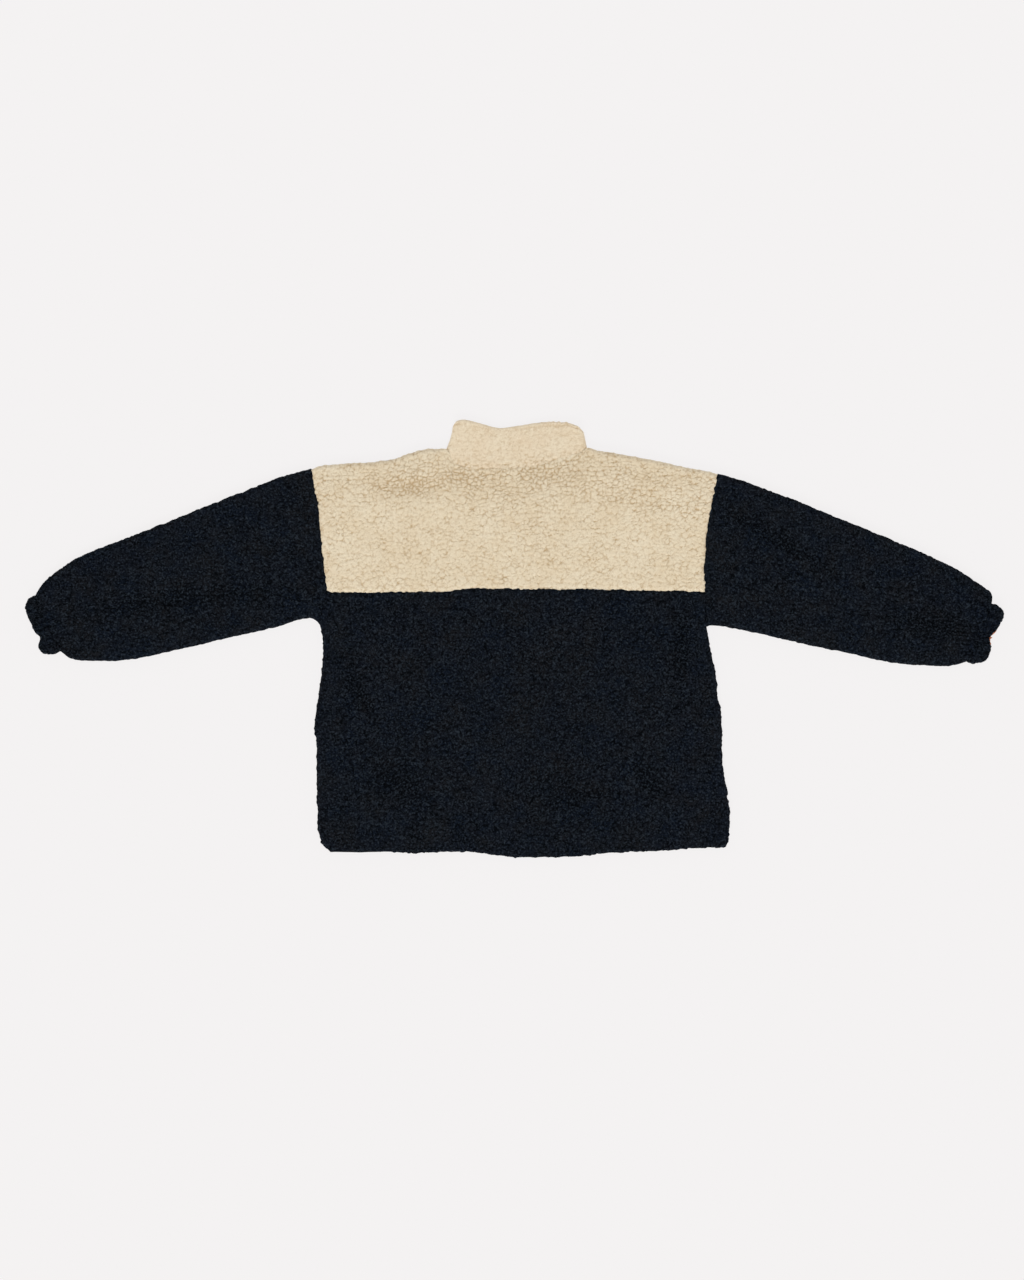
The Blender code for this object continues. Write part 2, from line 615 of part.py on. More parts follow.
def cuff(side):
    """Elastic casing at the sleeve's end, bunched into waves and open at its mouth."""
    lines = CUFFS[side]
    along = np.array(CUFF_STATIONS)
    closing = np.array(CUFF_END)[:, None]
    mouth = (MOUTH_GAP - LAYER_GAP) / 2.0 * eased(along - 0.2, 0.6)[:, None] if side == "right" else 0.0

    def heights(outer_points, inner_points, distance, along, across):
        full = rolled(distance) * (distance > 0.0)
        swell = mixed(eased(along, 0.4), CUFF_SWELL, PINCH)[:, None]
        waves = GATHER_HEIGHT * np.cos(2.0 * math.pi * GATHERS * across)[None] * eased(distance, 8.0)
        upper = MIDDLE + (RISE * swell + waves) * full
        lower = MIDDLE - np.minimum(RISE * swell, RISE) * full
        half = ((RISE - WALL) + mouth) * slot_share(across)[None] * np.ones_like(distance)
        wall_top, wall_low = (upper + MIDDLE + half) / 2.0, (lower + MIDDLE - half) / 2.0
        return (wall_top + (upper - wall_top) * closing, wall_low + (lower - wall_low) * closing,
                wall_top + (MIDDLE + half - wall_top) * closing,
                wall_low + (MIDDLE - half - wall_low) * closing)

    curves = tuple((lambda s, key=key: curve(lines[key], s)) for key in ("low", "high", "gather", "end"))
    tube("cuff_" + side, curves, along, 2 * GATHERS + 1, heights, "navy_sherpa")


def seam_chord(stations, heights, x):
    """Height of the neck seam at places across, straight between the columns of the yokes."""
    order = np.argsort(stations)
    return np.interp(x, stations[order], heights[order]) + COLLAR_SEAM_GAP


def front_collar_top(x, side_x, side_y, zip_x):
    """Height of the collar's top edge in front, which dips from the sides to the zip."""
    q = np.clip((zip_x - x) / (zip_x - side_x), 0.0, 1.0)
    return FRONT_COLLAR_TOP_Y + (side_y - FRONT_COLLAR_TOP_Y) * q ** FRONT_COLLAR_FORM


def collar_front(base, side_x, lean, corner, zip_x, rows):
    """Columns of one front half, from the side to the zip: place, seam, top, angle and sink."""
    stations = front_neck_stations(base, zip_x)
    heights = front_neck(stations, base, zip_x)
    x = stations[1:] + lean * (zip_x - stations[1:]) / (zip_x - side_x)
    seam = seam_chord(stations, heights, stations[1:]) + 0.0 * rows
    top = front_collar_top(x, corner[0], corner[1], zip_x)
    return x, seam + (top - seam) * rows, -math.pi / 2.0 + 0.0 * x, 0.0 * x


def collar_fold(base, side_x, lean, corner, zip_x, rows):
    """Columns round one side fold, from the front half to the back half."""
    inward = 1.0 if side_x < zip_x else -1.0
    turns = np.linspace(-math.pi / 2.0, math.pi / 2.0, FOLD_STEPS + 2)
    x = side_x + inward * RISE + lean + 0.0 * turns
    reach = side_x + inward * RISE * (1.0 - np.cos(turns))
    front_stations, back_stations = front_neck_stations(base, zip_x), back_neck_stations()
    front = seam_chord(front_stations, front_neck(front_stations, base, zip_x), reach)
    back = seam_chord(back_stations, smooth(BACK_NECK, back_stations), reach)
    seam = np.where(turns < 0.0, front, back) + 0.0 * rows
    angle = turns if inward < 0.0 else math.pi - turns
    return x, seam + (corner[1] - seam) * rows, angle + 0.0 * x, 0.0 * x


def collar_back(lean_left, lean_right, rows):
    """Columns of the back half, whose top edge sinks where nothing lies under it."""
    stations = back_neck_stations()
    inner = stations[1:-1]
    share = (inner - stations[0]) / (stations[-1] - stations[0])
    x = inner + lean_left * (1.0 - share) + lean_right * share
    seam = seam_chord(stations, smooth(BACK_NECK, stations), inner) + 0.0 * rows
    sink = COLLAR_SINK * rows * (1.0 - (2.0 * share - 1.0) ** 4)
    return x, seam + (smooth(COLLAR_TOP, x) - seam) * rows, math.pi / 2.0 + 0.0 * x, sink


def collar():
    """Stand collar: one band from zip edge to zip edge, folded at the sides of the neck."""
    rows = np.array(COLLAR_ROWS)[:, None]
    closing = np.array(COLLAR_EDGE)[:, None]
    left, right = COLLAR_BASE_LEFT, COLLAR_BASE_RIGHT
    lean_left, lean_right = (COLLAR_TOP[0][0] - left) * rows, (COLLAR_TOP[-1][0] - right) * rows
    left_side = (BACK_NECK[0][0], left, lean_left, COLLAR_TOP[0], ZIP_X - SLOT_HALF, rows)
    right_side = (BACK_NECK[-1][0], right, lean_right, COLLAR_TOP[-1], ZIP_X + SLOT_HALF, rows)
    front_left = [part[:, ::-1] for part in collar_front(*left_side)]
    runs = [front_left, collar_fold(*left_side), collar_back(lean_left, lean_right, rows),
            [part[:, ::-1] for part in collar_fold(*right_side)], collar_front(*right_side)]
    x, y, angle, sink = (np.concatenate([run[part] for run in runs], axis=1) for part in range(4))
    grids = []
    for offset in (WALL / 2.0, -WALL / 2.0):
        radius = RISE - WALL / 2.0 + offset * closing
        grids.append(stacked(x + radius * np.cos(angle), y, MIDDLE + radius * np.sin(angle) - sink))
    wall("collar", grids[0], grids[1], "cream_sherpa")


def zip_tape(side):
    """Woven tape from the hem to the top of the collar, between the front's edge and the teeth."""
    sign = -1.0 if side == "left" else 1.0
    outer_x = ZIP_X + sign * (SLOT_HALF - SEAM_GAP)
    inner_x = ZIP_X + sign * TEETH_GAP / 2.0
    post_x = ZIP_X + sign * 0.9
    y = np.array([-231.0, -120.0, 0.0, 100.0, AXIS_Y + 0.6, AXIS_Y + 1.0, AXIS_Y + 4.2, AXIS_Y + 4.6, 178.0])
    at_post = (y > AXIS_Y + 0.8) & (y < AXIS_Y + 4.4)
    x_in = np.where(at_post, post_x, inner_x)
    grid_x = np.stack([x_in, (x_in + outer_x) / 2.0, np.full(len(y), outer_x)], 1)
    grid_y = np.repeat(y[:, None], 3, axis=1)
    wall("zip_tape_" + side, stacked(grid_x, grid_y, 0.0 * grid_x + TAPE_HIGH),
         stacked(grid_x, grid_y, 0.0 * grid_x + TAPE_LOW), "zip_tape")


def block(name, low, high, bevel=0.0, shift=(0.0, 0.0, 0.0)):
    """Box between two corners in millimetres, about the given shift, with bevelled upright edges."""
    low, high, shift = np.array(low, float), np.array(high, float), np.array(shift, float)
    mesh = bpy.data.meshes.new(name)
    work = bmesh.new()
    bmesh.ops.create_cube(work, size=1.0)
    centre, size = (low + high) / 2.0 - shift, high - low
    for vertex in work.verts:
        for axis in range(3):
            vertex.co[axis] = (vertex.co[axis] * size[axis] + centre[axis]) * METRES
    if bevel:
        upright = [e for e in work.edges if abs(e.verts[0].co.z - e.verts[1].co.z) > size[2] * METRES / 2.0]
        bmesh.ops.bevel(work, geom=upright, offset=bevel * METRES, segments=3, profile=0.5, affect="EDGES")
    work.to_mesh(mesh)
    work.free()
    return bpy.data.objects.new(name, mesh)


def add_boolean(target, operation, cutter):
    """Boolean on the target with a hidden cutter."""
    cutters.objects.link(cutter)
    cutter.hide_render = True
    cutter.display_type = "WIRE"
    modifier = target.modifiers.new(operation.title(), "BOOLEAN")
    modifier.operation = operation
    modifier.object = cutter


def zip_slider():
    """Slider on the closed teeth: outer and inner plates, the post between them, and the arch."""
    outer_face = AXIS_Z + BAR_RADIUS + RUNNING_GAP
    outer_plate = block("zip_slider", (ZIP_X - 3.2, AXIS_Y - 4.2, outer_face),
                        (ZIP_X + 3.2, AXIS_Y + 4.8, outer_face + PLATE), 1.4)
    jacket.objects.link(outer_plate)
    outer_plate.data.materials.append(material("zip_metal"))
    inner_face = TAPE_HIGH + SEAM_GAP
    add_boolean(outer_plate, "UNION", block("slider_inner_plate", (ZIP_X - 3.2, AXIS_Y - 4.2, inner_face),
                                            (ZIP_X + 3.2, AXIS_Y + 4.8, inner_face + PLATE), 1.4))
    add_boolean(outer_plate, "UNION", block("slider_post", (ZIP_X - 0.6, AXIS_Y + 1.4, outer_face + 0.2),
                                            (ZIP_X + 0.6, AXIS_Y + 3.8, inner_face + 0.3)))
    arch_inner = AXIS_Z - BAR_RADIUS - RUNNING_GAP
    leg = BAR_RADIUS + 0.4
    for name, near, far in (("slider_arch_leg_low", -leg - 0.8, -leg), ("slider_arch_leg_high", leg, leg + 0.8)):
        add_boolean(outer_plate, "UNION", block(name, (ZIP_X - ARCH_HALF_WIDTH, AXIS_Y + near, arch_inner - 0.3),
                                                (ZIP_X + ARCH_HALF_WIDTH, AXIS_Y + far, outer_face + 0.3)))
    add_boolean(outer_plate, "UNION", block("slider_arch_bar",
                                            (ZIP_X - ARCH_HALF_WIDTH, AXIS_Y - leg - 0.8, arch_inner - ARCH),
                                            (ZIP_X + ARCH_HALF_WIDTH, AXIS_Y + leg + 0.8, arch_inner)))


def zip_pull():
    """Pull tab that turns on its own cross bar, which passes under the slider's arch."""
    axis = (ZIP_X, AXIS_Y, AXIS_Z)
    tab = block("zip_pull", (ZIP_X - TAB_HALF_WIDTH, AXIS_Y - TAB_LENGTH, AXIS_Z - BAR_RADIUS),
                (ZIP_X + TAB_HALF_WIDTH, AXIS_Y + 0.0, AXIS_Z + BAR_RADIUS), 0.0, axis)
    jacket.objects.link(tab)
    tab.data.materials.append(material("zip_metal"))
    window = block("pull_window", (ZIP_X - TAB_WINDOW_HALF, AXIS_Y - TAB_WINDOW_LENGTH, AXIS_Z - 1.0),
                   (ZIP_X + TAB_WINDOW_HALF, AXIS_Y + 1.0, AXIS_Z + 1.0), 0.0, axis)
    grip = block("pull_grip_hole", (ZIP_X - 1.2, AXIS_Y - TAB_LENGTH + 2.4, AXIS_Z - 1.0),
                 (ZIP_X + 1.2, AXIS_Y - TAB_LENGTH + 9.0, AXIS_Z + 1.0), 1.0, axis)
    bar_mesh = bpy.data.meshes.new("pull_bar")
    work = bmesh.new()
    bmesh.ops.create_cone(work, cap_ends=True, segments=20, radius1=BAR_RADIUS * METRES,
                          radius2=BAR_RADIUS * METRES, depth=2.0 * TAB_HALF_WIDTH * METRES)
    work.to_mesh(bar_mesh)
    work.free()
    bar = bpy.data.objects.new("pull_bar", bar_mesh)
    bar.rotation_euler = (0.0, math.radians(90.0), 0.0)
    add_boolean(tab, "DIFFERENCE", window)
    add_boolean(tab, "DIFFERENCE", grip)
    add_boolean(tab, "UNION", bar)
    for piece in (tab, window, grip, bar):
        piece.location = [value * METRES for value in axis]


def cuff_lining():
    """Edge of the lining in the notch of the right cuff, between the two layers of the casing."""
    inside_low, mouth_low, mouth_high, inside_high = (np.array(corner) for corner in LINING_CORNERS)
    u, v = np.meshgrid(np.linspace(0.0, 1.0, 4), np.linspace(0.0, 1.0, 6), indexing="ij")
    u, v = u[..., None], v[..., None]
    points = (1 - u) * ((1 - v) * inside_low + v * inside_high) + u * ((1 - v) * mouth_low + v * mouth_high)
    x, y = points[..., 0], points[..., 1]
    wall("cuff_lining_right", stacked(x, y, 0.0 * x + LINING_HIGH), stacked(x, y, 0.0 * x + LINING_LOW),
         "rust_lining")


for old in list(bpy.data.objects):
    bpy.data.objects.remove(old, do_unlink=True)
jacket = bpy.data.collections.new("teddy_jacket")
cutters = bpy.data.collections.new("cutters")
bpy.context.scene.collection.children.link(jacket)
bpy.context.scene.collection.children.link(cutters)

back_yoke()
back_lower()
for hand in ("left", "right"):
    front_yoke(hand)
    front_lower(hand)
    sleeve(hand)
    cuff(hand)
    zip_tape(hand)
collar()
zip_slider()
zip_pull()
cuff_lining()
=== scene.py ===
"""Looks of a child's teddy jacket in sherpa pile, lying flat on its front.

X runs across the jacket, Y up towards the collar, Z away from the surface. Lengths are in
millimetres until a mesh is made, which turns them into metres.
"""

import math

import bpy
import numpy as np
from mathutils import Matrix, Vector


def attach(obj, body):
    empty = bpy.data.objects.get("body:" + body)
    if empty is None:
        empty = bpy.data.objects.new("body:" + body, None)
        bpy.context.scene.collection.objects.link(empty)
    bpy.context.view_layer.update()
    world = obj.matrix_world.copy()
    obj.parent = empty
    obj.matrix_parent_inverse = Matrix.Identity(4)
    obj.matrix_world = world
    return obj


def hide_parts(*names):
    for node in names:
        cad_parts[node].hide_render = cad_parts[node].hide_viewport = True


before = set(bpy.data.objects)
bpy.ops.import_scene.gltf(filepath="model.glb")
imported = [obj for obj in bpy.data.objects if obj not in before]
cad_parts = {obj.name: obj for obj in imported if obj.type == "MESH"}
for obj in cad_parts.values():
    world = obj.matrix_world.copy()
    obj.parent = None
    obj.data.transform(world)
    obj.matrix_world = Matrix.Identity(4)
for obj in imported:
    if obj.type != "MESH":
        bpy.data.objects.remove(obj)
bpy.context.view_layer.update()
scene = bpy.context.scene

# The camera hangs straight above the jacket with a long lens, as a studio's copy stand holds it.
METRES = 0.001
MM_PER_PIXEL = 1.10
PICTURE_HEIGHT = 1280
LENS, SENSOR = 85.0, 36.0
OUTLINE_HEIGHT = 5.4        # the jacket's outline lies this far above the surface
LOOK_AT = (-1.1, -1.65)

camera_data = bpy.data.cameras.new("camera")
camera_data.lens = LENS
camera_data.sensor_width = SENSOR
camera = bpy.data.objects.new("camera", camera_data)
distance = PICTURE_HEIGHT * MM_PER_PIXEL * LENS / SENSOR
camera.location = (LOOK_AT[0] * METRES, LOOK_AT[1] * METRES, (distance + OUTLINE_HEIGHT) * METRES)
scene.collection.objects.link(camera)
scene.camera = camera
scene.view_settings.view_transform = "Standard"

# The surface is a wide board of matt white acrylic, lit from behind as well as from above, so that
# hardly a shadow shows on it. Soft light comes from all round, most from low down and from the hem.
SURFACE_HALF, SURFACE_Z = 4.0, -0.0003      # in metres
SURFACE_TONE = (244, 242, 242)
SURFACE_GLOW = 0.936        # share of the board's brightness that comes from the light behind it
SURFACE_REFLECTS = 0.06
LOW_LIGHT, HIGH_LIGHT = 1.3, 0.49       # the studio's light from the sides and from straight above
KEY_STRENGTH, KEY_SPREAD = 1.4, math.radians(28.0)
KEY_FROM = (-0.12, -1.0, 1.0)


def paint(red, green, blue, dimmed=1.0):
    """Linear colour from screen values of 0 to 255: a share of 255, raised to the screen's power."""
    part = np.array([red, green, blue]) / 255.0
    linear = np.where(part > 0.04045, ((part + 0.055) / 1.055) ** 2.4, part / 12.92)
    return (*(dimmed * linear).tolist(), 1.0)


def node(tree, kind, inputs=(), **settings):
    """Shader node with its settings, whose inputs are given a value or joined to a socket."""
    made = tree.nodes.new("ShaderNode" + kind)
    for key, value in settings.items():
        setattr(made, key, value)
    for name, value in dict(inputs).items():
        if isinstance(value, bpy.types.NodeSocket):
            tree.links.new(value, made.inputs[name])
        else:
            made.inputs[name].default_value = value
    return made


def finish_of(material):
    """Inputs of a material's Principled shader."""
    return material.node_tree.nodes["Principled BSDF"].inputs


def new_material(name, roughness, metallic=0.0, specular=0.5):
    """Material with the constants of its finish set on its Principled shader."""
    made = bpy.data.materials.new(name)
    made.use_nodes = True
    for key, value in (("Roughness", roughness), ("Metallic", metallic), ("Specular IOR Level", specular)):
        finish_of(made)[key].default_value = value
    return made


def pattern(material, kind, settings=(), **inputs):
    """Share from 0 to 1 of a texture that is laid out on the piece's own place."""
    tree = material.node_tree
    place = node(tree, "TexCoord").outputs["Object"]
    return node(tree, "Tex" + kind, {"Vector": place, **inputs}, **dict(settings)).outputs["Fac"]


def ranged(tree, value, low, high, to_low=0.0, to_high=1.0, **settings):
    """A value's range from low to high, moved to another range."""
    return node(tree, "MapRange", {"Value": value, "From Min": low, "From Max": high, "To Min": to_low,
                                   "To Max": to_high}, **settings).outputs["Result"]


def blended(tree, share, one, other):
    """Colour from one, where the share is 0, to the other, where it is 1."""
    return node(tree, "Mix", {"Factor": share, "A": one, "B": other}, data_type="RGBA").outputs["Result"]


def coloured(material, share, one, other):
    """The two colours, blended by the share, are the material's colour."""
    tree = material.node_tree
    tree.links.new(blended(tree, share, one, other), finish_of(material)["Base Color"])


corners = [(x * SURFACE_HALF, y * SURFACE_HALF, SURFACE_Z) for x, y in ((-1, -1), (1, -1), (1, 1), (-1, 1))]
surface_mesh = bpy.data.meshes.new("surface")
surface_mesh.from_pydata(corners, [], [(0, 1, 2, 3)])
surface = bpy.data.objects.new("surface", surface_mesh)
scene.collection.objects.link(surface)
board = new_material("white_board", 1.0, specular=0.0)
finish_of(board)["Emission Color"].default_value = paint(*SURFACE_TONE)
finish_of(board)["Emission Strength"].default_value = SURFACE_GLOW
coloured(board, pattern(board, "Noise", Scale=3.0, Detail=2.0),
         paint(*SURFACE_TONE, SURFACE_REFLECTS), paint(*SURFACE_TONE, 0.99 * SURFACE_REFLECTS))
surface_mesh.materials.append(board)

world = bpy.data.worlds.new("studio")
world.use_nodes = True
studio = world.node_tree
light_round = studio.nodes["Background"]
light_round.inputs["Color"].default_value = (1.0, 1.0, 1.0, 1.0)
steepness = node(studio, "SeparateXYZ", {0: node(studio, "TexCoord").outputs["Object"]}).outputs["Z"]
studio.links.new(ranged(studio, steepness, 0.0, 1.0, LOW_LIGHT, HIGH_LIGHT), light_round.inputs["Strength"])
behind_all = node(studio, "Background", {"Color": paint(*SURFACE_TONE), "Strength": 1.0})
seen_or_lit = node(studio, "MixShader", {0: node(studio, "LightPath").outputs["Is Camera Ray"],
                                         1: light_round.outputs[0], 2: behind_all.outputs[0]})
studio.links.new(seen_or_lit.outputs[0], studio.nodes["World Output"].inputs["Surface"])
scene.world = world

key_data = bpy.data.lights.new("key", "SUN")
key_data.energy = KEY_STRENGTH
key_data.angle = KEY_SPREAD
key = bpy.data.objects.new("key", key_data)
key.rotation_euler = (-Vector(KEY_FROM)).to_track_quat("-Z", "Y").to_euler()
scene.collection.objects.link(key)

# Back yoke: cream sherpa, the upper back between the armholes, folded over the shoulders and sewn
# to the collar, the sleeves and the lower back. The pile is short loops curled into small lumps.
WALL = 5.0                  # from the knitted ground to the tips of the pile
LAYER_GAP = 0.8
SEAM_GAP = 0.3
ARMHOLE_GAP = 0.15
RISE = WALL + LAYER_GAP / 2.0
MIDDLE = RISE               # height of the plane half way between the back and the front
HALF_SEAM = SEAM_GAP / 2.0
SEAM_DIP, SEAM_DIP_WIDTH = 1.1, 4.0
NECK_DIP = 0.5              # the pile nearly closes over the collar's seam
EDGE_SHARE = 0.07           # height of a rounded edge's last point, as a share of the full height
LOFT, LOFT_WIDTH, LOFT_LIMIT = 2.1, 45.0, 3.0
EVERY = 6                   # steps of an outer face to one step of the inner face
PILE_DEPTH = 1.25           # from the crevices to the tips of the curls
PILE_PROUD = 0.75           # how much of that stands out of the plain surface
CURL = 4.8                  # across one curl
CURL_STRETCH = (0.88, 1.13)
SMALL_CURL = 0.46           # a small lump's size, as a share of a curl's
PARTING = 1.2               # half width of the parting between two curls
OPEN_PATCH, CLOSED_PATCH = 9.0, 3.6     # across the patches where the crevices open or close
TIP = 2.1                   # across one uneven tip
SIDE_UNEVEN, SEAM_UNEVEN, NECK_UNEVEN, SHOULDER_UNEVEN = 1.3, 1.2, 1.5, 0.7
BACK_WIDTH, YOKE_LENGTH = 447.0, 140.0
NECK_CORNER, NECK_EASE = 12.0, 8.0
# Both of these open the pile; its darker crevice colour paints shade there, partly real relief and partly
# painted shade.
UNDER_NECK = 20.0           # the pile is more open in a band at this distance below the neck
CREVICES_IN, CREVICES_HALF = 3.5, 3.0   # the row of crevices beside the collar's seam

LEFT_SIDE = (
    # y, x
    (185.4, -221.6), (151.8, -215.3), (110.8, -210.5), (79.2, -207.5), (51.5, -204.9),
    (14.3, -211.8), (-2.0, -208.0), (-37.0, -210.0), (-62.0, -213.7), (-98.0, -217.8),
    (-124.0, -215.6), (-189.0, -215.3), (-213.0, -213.7), (-226.0, -210.0), (-233.5, -201.0),
)
RIGHT_SIDE = (
    (180.3, 225.2), (151.8, 218.9), (114.0, 212.5), (79.2, 210.3), (51.5, 210.3),
    (12.7, 212.3), (-5.0, 215.6), (-27.0, 220.3), (-62.0, 225.2), (-93.0, 229.2),
    (-138.0, 230.5), (-169.0, 234.6), (-194.0, 238.4), (-219.0, 237.6), (-229.5, 234.0),
)
SHOULDERS = (
    # x, y
    (-221.6, 185.4), (-214.0, 188.9), (-203.0, 190.9), (-159.5, 193.4), (-132.0, 197.0),
    (-104.5, 206.0), (-90.0, 208.4), (-74.8, 208.6),
)
BACK_NECK = (
    (-74.8, 208.6), (-71.6, 206.8), (-66.2, 196.2), (-56.0, 189.0), (-40.7, 186.4), (7.7, 187.4),
    (35.2, 193.0), (62.7, 199.8), (81.4, 209.4),
)
RIGHT_SHOULDER = (
    (81.4, 209.4), (104.5, 204.6), (132.0, 199.9), (159.5, 195.0), (192.5, 187.6),
    (210.0, 184.8), (225.2, 180.3),
)
CHEST_SEAM = (
    (-204.9, 51.3), (-168.3, 50.6), (-80.3, 51.8), (-41.8, 54.9), (-3.3, 54.5), (95.7, 53.9),
    (210.3, 51.2),
)
FOLDS = (
    # x, y, half_length, half_width, turn, height
    (-110.0, 166.7, 36.0, 11.0, 3.0, -1.5),       # yoke, under the left shoulder
    (-55.0, 179.0, 24.0, 9.0, -8.0, -1.1),        # yoke, left of the neck
    (37.4, 181.0, 24.0, 8.0, 8.0, -1.1),          # yoke, right of the neck
    (123.0, 156.0, 66.0, 12.0, -10.0, -0.6),      # yoke, under the right shoulder
    (-120.0, 143.0, 50.0, 14.0, 2.0, 0.5),        # yoke, ridge under the left trough
    (184.8, -12.7, 44.0, 8.0, 85.0, -1.7),        # lower back, below the right armpit
    (140.8, -31.4, 36.0, 17.0, 100.0, 0.8),       # lower back, ridge beside it
    (-171.6, -53.4, 34.0, 10.0, -56.0, -1.2),     # lower back, below the left armpit
    (-127.6, -87.5, 40.0, 14.0, -58.0, 0.7),      # lower back, ridge beside it
    (-119.9, -159.0, 42.0, 18.0, -40.0, -0.9),    # lower back, towards the hem on the left
    (52.8, -166.7, 38.0, 18.0, -10.0, -0.8),      # lower back, above the middle of the hem
    (150.7, -155.7, 26.0, 9.0, -50.0, -1.3),      # lower back, towards the hem on the right
    (184.8, -148.0, 26.0, 10.0, -50.0, 0.6),      # lower back, ridge beside it
    (-350.9, 86.4, 46.0, 18.0, 20.0, 0.6),        # left sleeve, ridge along the fold
    (-363.0, 44.6, 92.0, 10.0, 6.0, -1.2),        # left sleeve, trough along the middle
    (291.5, 108.4, 60.0, 8.0, -30.0, -1.3),       # right sleeve, trough from the shoulder
    (277.0, 84.0, 46.0, 12.0, -28.0, 0.6),        # right sleeve, ridge below it
    (462.0, 14.0, 44.0, 13.0, -12.0, -1.4),       # right sleeve, trough into the cuff
)


def smooth(rows, at):
    """Heights of a smooth line through (place, height) rows; between two rows it overshoots neither."""
    places, heights = np.array(rows, float).T
    if places[0] > places[-1]:
        places, heights = places[::-1], heights[::-1]
    at = np.clip(at, places[0], places[-1])
    steps = np.diff(places)
    slopes = np.diff(heights) / steps
    product = slopes[:-1] * slopes[1:]
    total = slopes[:-1] + slopes[1:]
    inner = np.where(product > 0.0, 2.0 * product / np.where(product > 0.0, total, 1.0), 0.0)
    grades = np.concatenate([slopes[:1], inner, slopes[-1:]])
    part = np.clip(np.searchsorted(places, at, side="right") - 1, 0, len(steps) - 1)
    step = steps[part]
    t = (at - places[part]) / step
    return ((1.0 + 2.0 * t) * (1.0 - t) ** 2 * heights[part] + t * (1.0 - t) ** 2 * step * grades[part]
            + t * t * (3.0 - 2.0 * t) * heights[part + 1] + t * t * (t - 1.0) * step * grades[part + 1])


def eased(distance, width):
    """0 at an edge, 1 from the given width inwards, level at both ends: 3 t squared less 2 t cubed."""
    t = np.clip(distance / width, 0.0, 1.0)
    return t * t * (3.0 - 2.0 * t)


def rolled(distance, radius=WALL):
    """Share of full height beside an edge that rounds over in a quarter circle."""
    inside = np.clip(distance / radius, 0.0, 1.0)
    return np.sqrt(np.clip(1.0 - (1.0 - inside) ** 2, EDGE_SHARE ** 2, 1.0))


def dipped(distance, dip=SEAM_DIP):
    """Share of full height beside a flat seam: 1 less the dip, which fades with the square."""
    inside = np.clip(distance / SEAM_DIP_WIDTH, 0.0, 1.0)
    return 1.0 - dip / RISE * (1.0 - inside) ** 2


def mixed(share, one, other):
    """One form where share is 1, the other where it is 0."""
    return share * one + (1.0 - share) * other


def between(start, end, share):
    """Value at a share of the way from the start to the end."""
    return start + (end - start) * share


def stacked(x, y, z):
    """Points from their three coordinates, each an array or one number for all."""
    return np.stack(np.broadcast_arrays(x, y, z), -1)


def bells(folds, x, y):
    """Sum of the folds at points: each is a bell that falls off with the square of the distance
    along it and across it."""
    height = np.zeros(np.shape(x))
    for fold_x, fold_y, half_length, half_width, turn, fold_height in folds:
        cosine, sine = math.cos(math.radians(turn)), math.sin(math.radians(turn))
        along = ((x - fold_x) * cosine + (y - fold_y) * sine) / half_length
        across = ((y - fold_y) * cosine - (x - fold_x) * sine) / half_width
        height = height + fold_height * np.exp(-along ** 2 - across ** 2)
    return height


def lift(x, y, loft_share):
    """Height of the upper layer over its rest: its loft and its folds, held between 0 and a limit."""
    return np.clip(LOFT + bells(FOLDS, x, y), 0.0, LOFT_LIMIT) * loft_share


def scattered(cells, seed):
    """Three repeatable values from 0 to 1 for each whole-numbered cell: its numbers times large
    primes, mixed by shifts and products, of which the low 24 bits are kept."""
    bits = (cells[..., 0] * 73856093) ^ (cells[..., 1] * 19349663) ^ (cells[..., 2] * 83492791)
    bits = (bits ^ (seed * 2971215073)) & 0xFFFFFFFF
    values = []
    for factor in (2246822519, 3266489917, 668265263):
        bits = ((bits ^ (bits >> 15)) * factor) & 0xFFFFFFFF
        bits = bits ^ (bits >> 13)
        values.append((bits & 0xFFFFFF) / 0x1000000)
    return np.stack(values, -1)


def soft_noise(points, size, seed):
    """Three channels of smooth noise from 0 to 1: scattered values, eased between lattice corners."""
    at = points / size
    home = np.floor(at).astype(np.int64)
    part = at - home
    part = part * part * (3.0 - 2.0 * part)
    total = np.zeros(points.shape)
    for corner in np.ndindex(2, 2, 2):
        weight = np.prod(np.where(np.array(corner) == 1, part, 1.0 - part), axis=-1)
        total += weight[..., None] * scattered(home + np.array(corner), seed)
    return total


def partings(places, size, seed):
    """For places on the flat, with points scattered one to a lattice cell: distance to the nearest
    point, distance to the line that parts it from the second nearest, and how level that line is.

    The line lies half way between the two points, so its distance is the difference of the two
    squared distances over twice the step from one point to the other.
    """
    at = places / size
    home = np.floor(at).astype(np.int64)
    first, second = np.full(places.shape[:-1], 9.0), np.full(places.shape[:-1], 9.0)
    to_first, to_second = np.zeros(places.shape), np.ones(places.shape)
    for offset in np.ndindex(3, 3):
        cell = home + np.array(offset) - 1
        step = cell + scattered(np.concatenate([cell, 0 * cell[..., :1]], -1), seed)[..., :2] - at
        gap = np.hypot(step[..., 0], step[..., 1])
        nearest, next_one = (gap < first)[..., None], (gap < second)[..., None]
        to_second = np.where(nearest, to_first, np.where(next_one, step, to_second))
        second = np.minimum(second, np.maximum(first, gap))
        to_first = np.where(nearest, step, to_first)
        first = np.minimum(first, gap)
    apart = to_second - to_first
    length = np.maximum(np.hypot(apart[..., 0], apart[..., 1]), 1e-6)
    to_line = (second ** 2 - first ** 2) / (2.0 * length)
    return first * size, to_line * size, np.abs(apart[..., 1]) / length


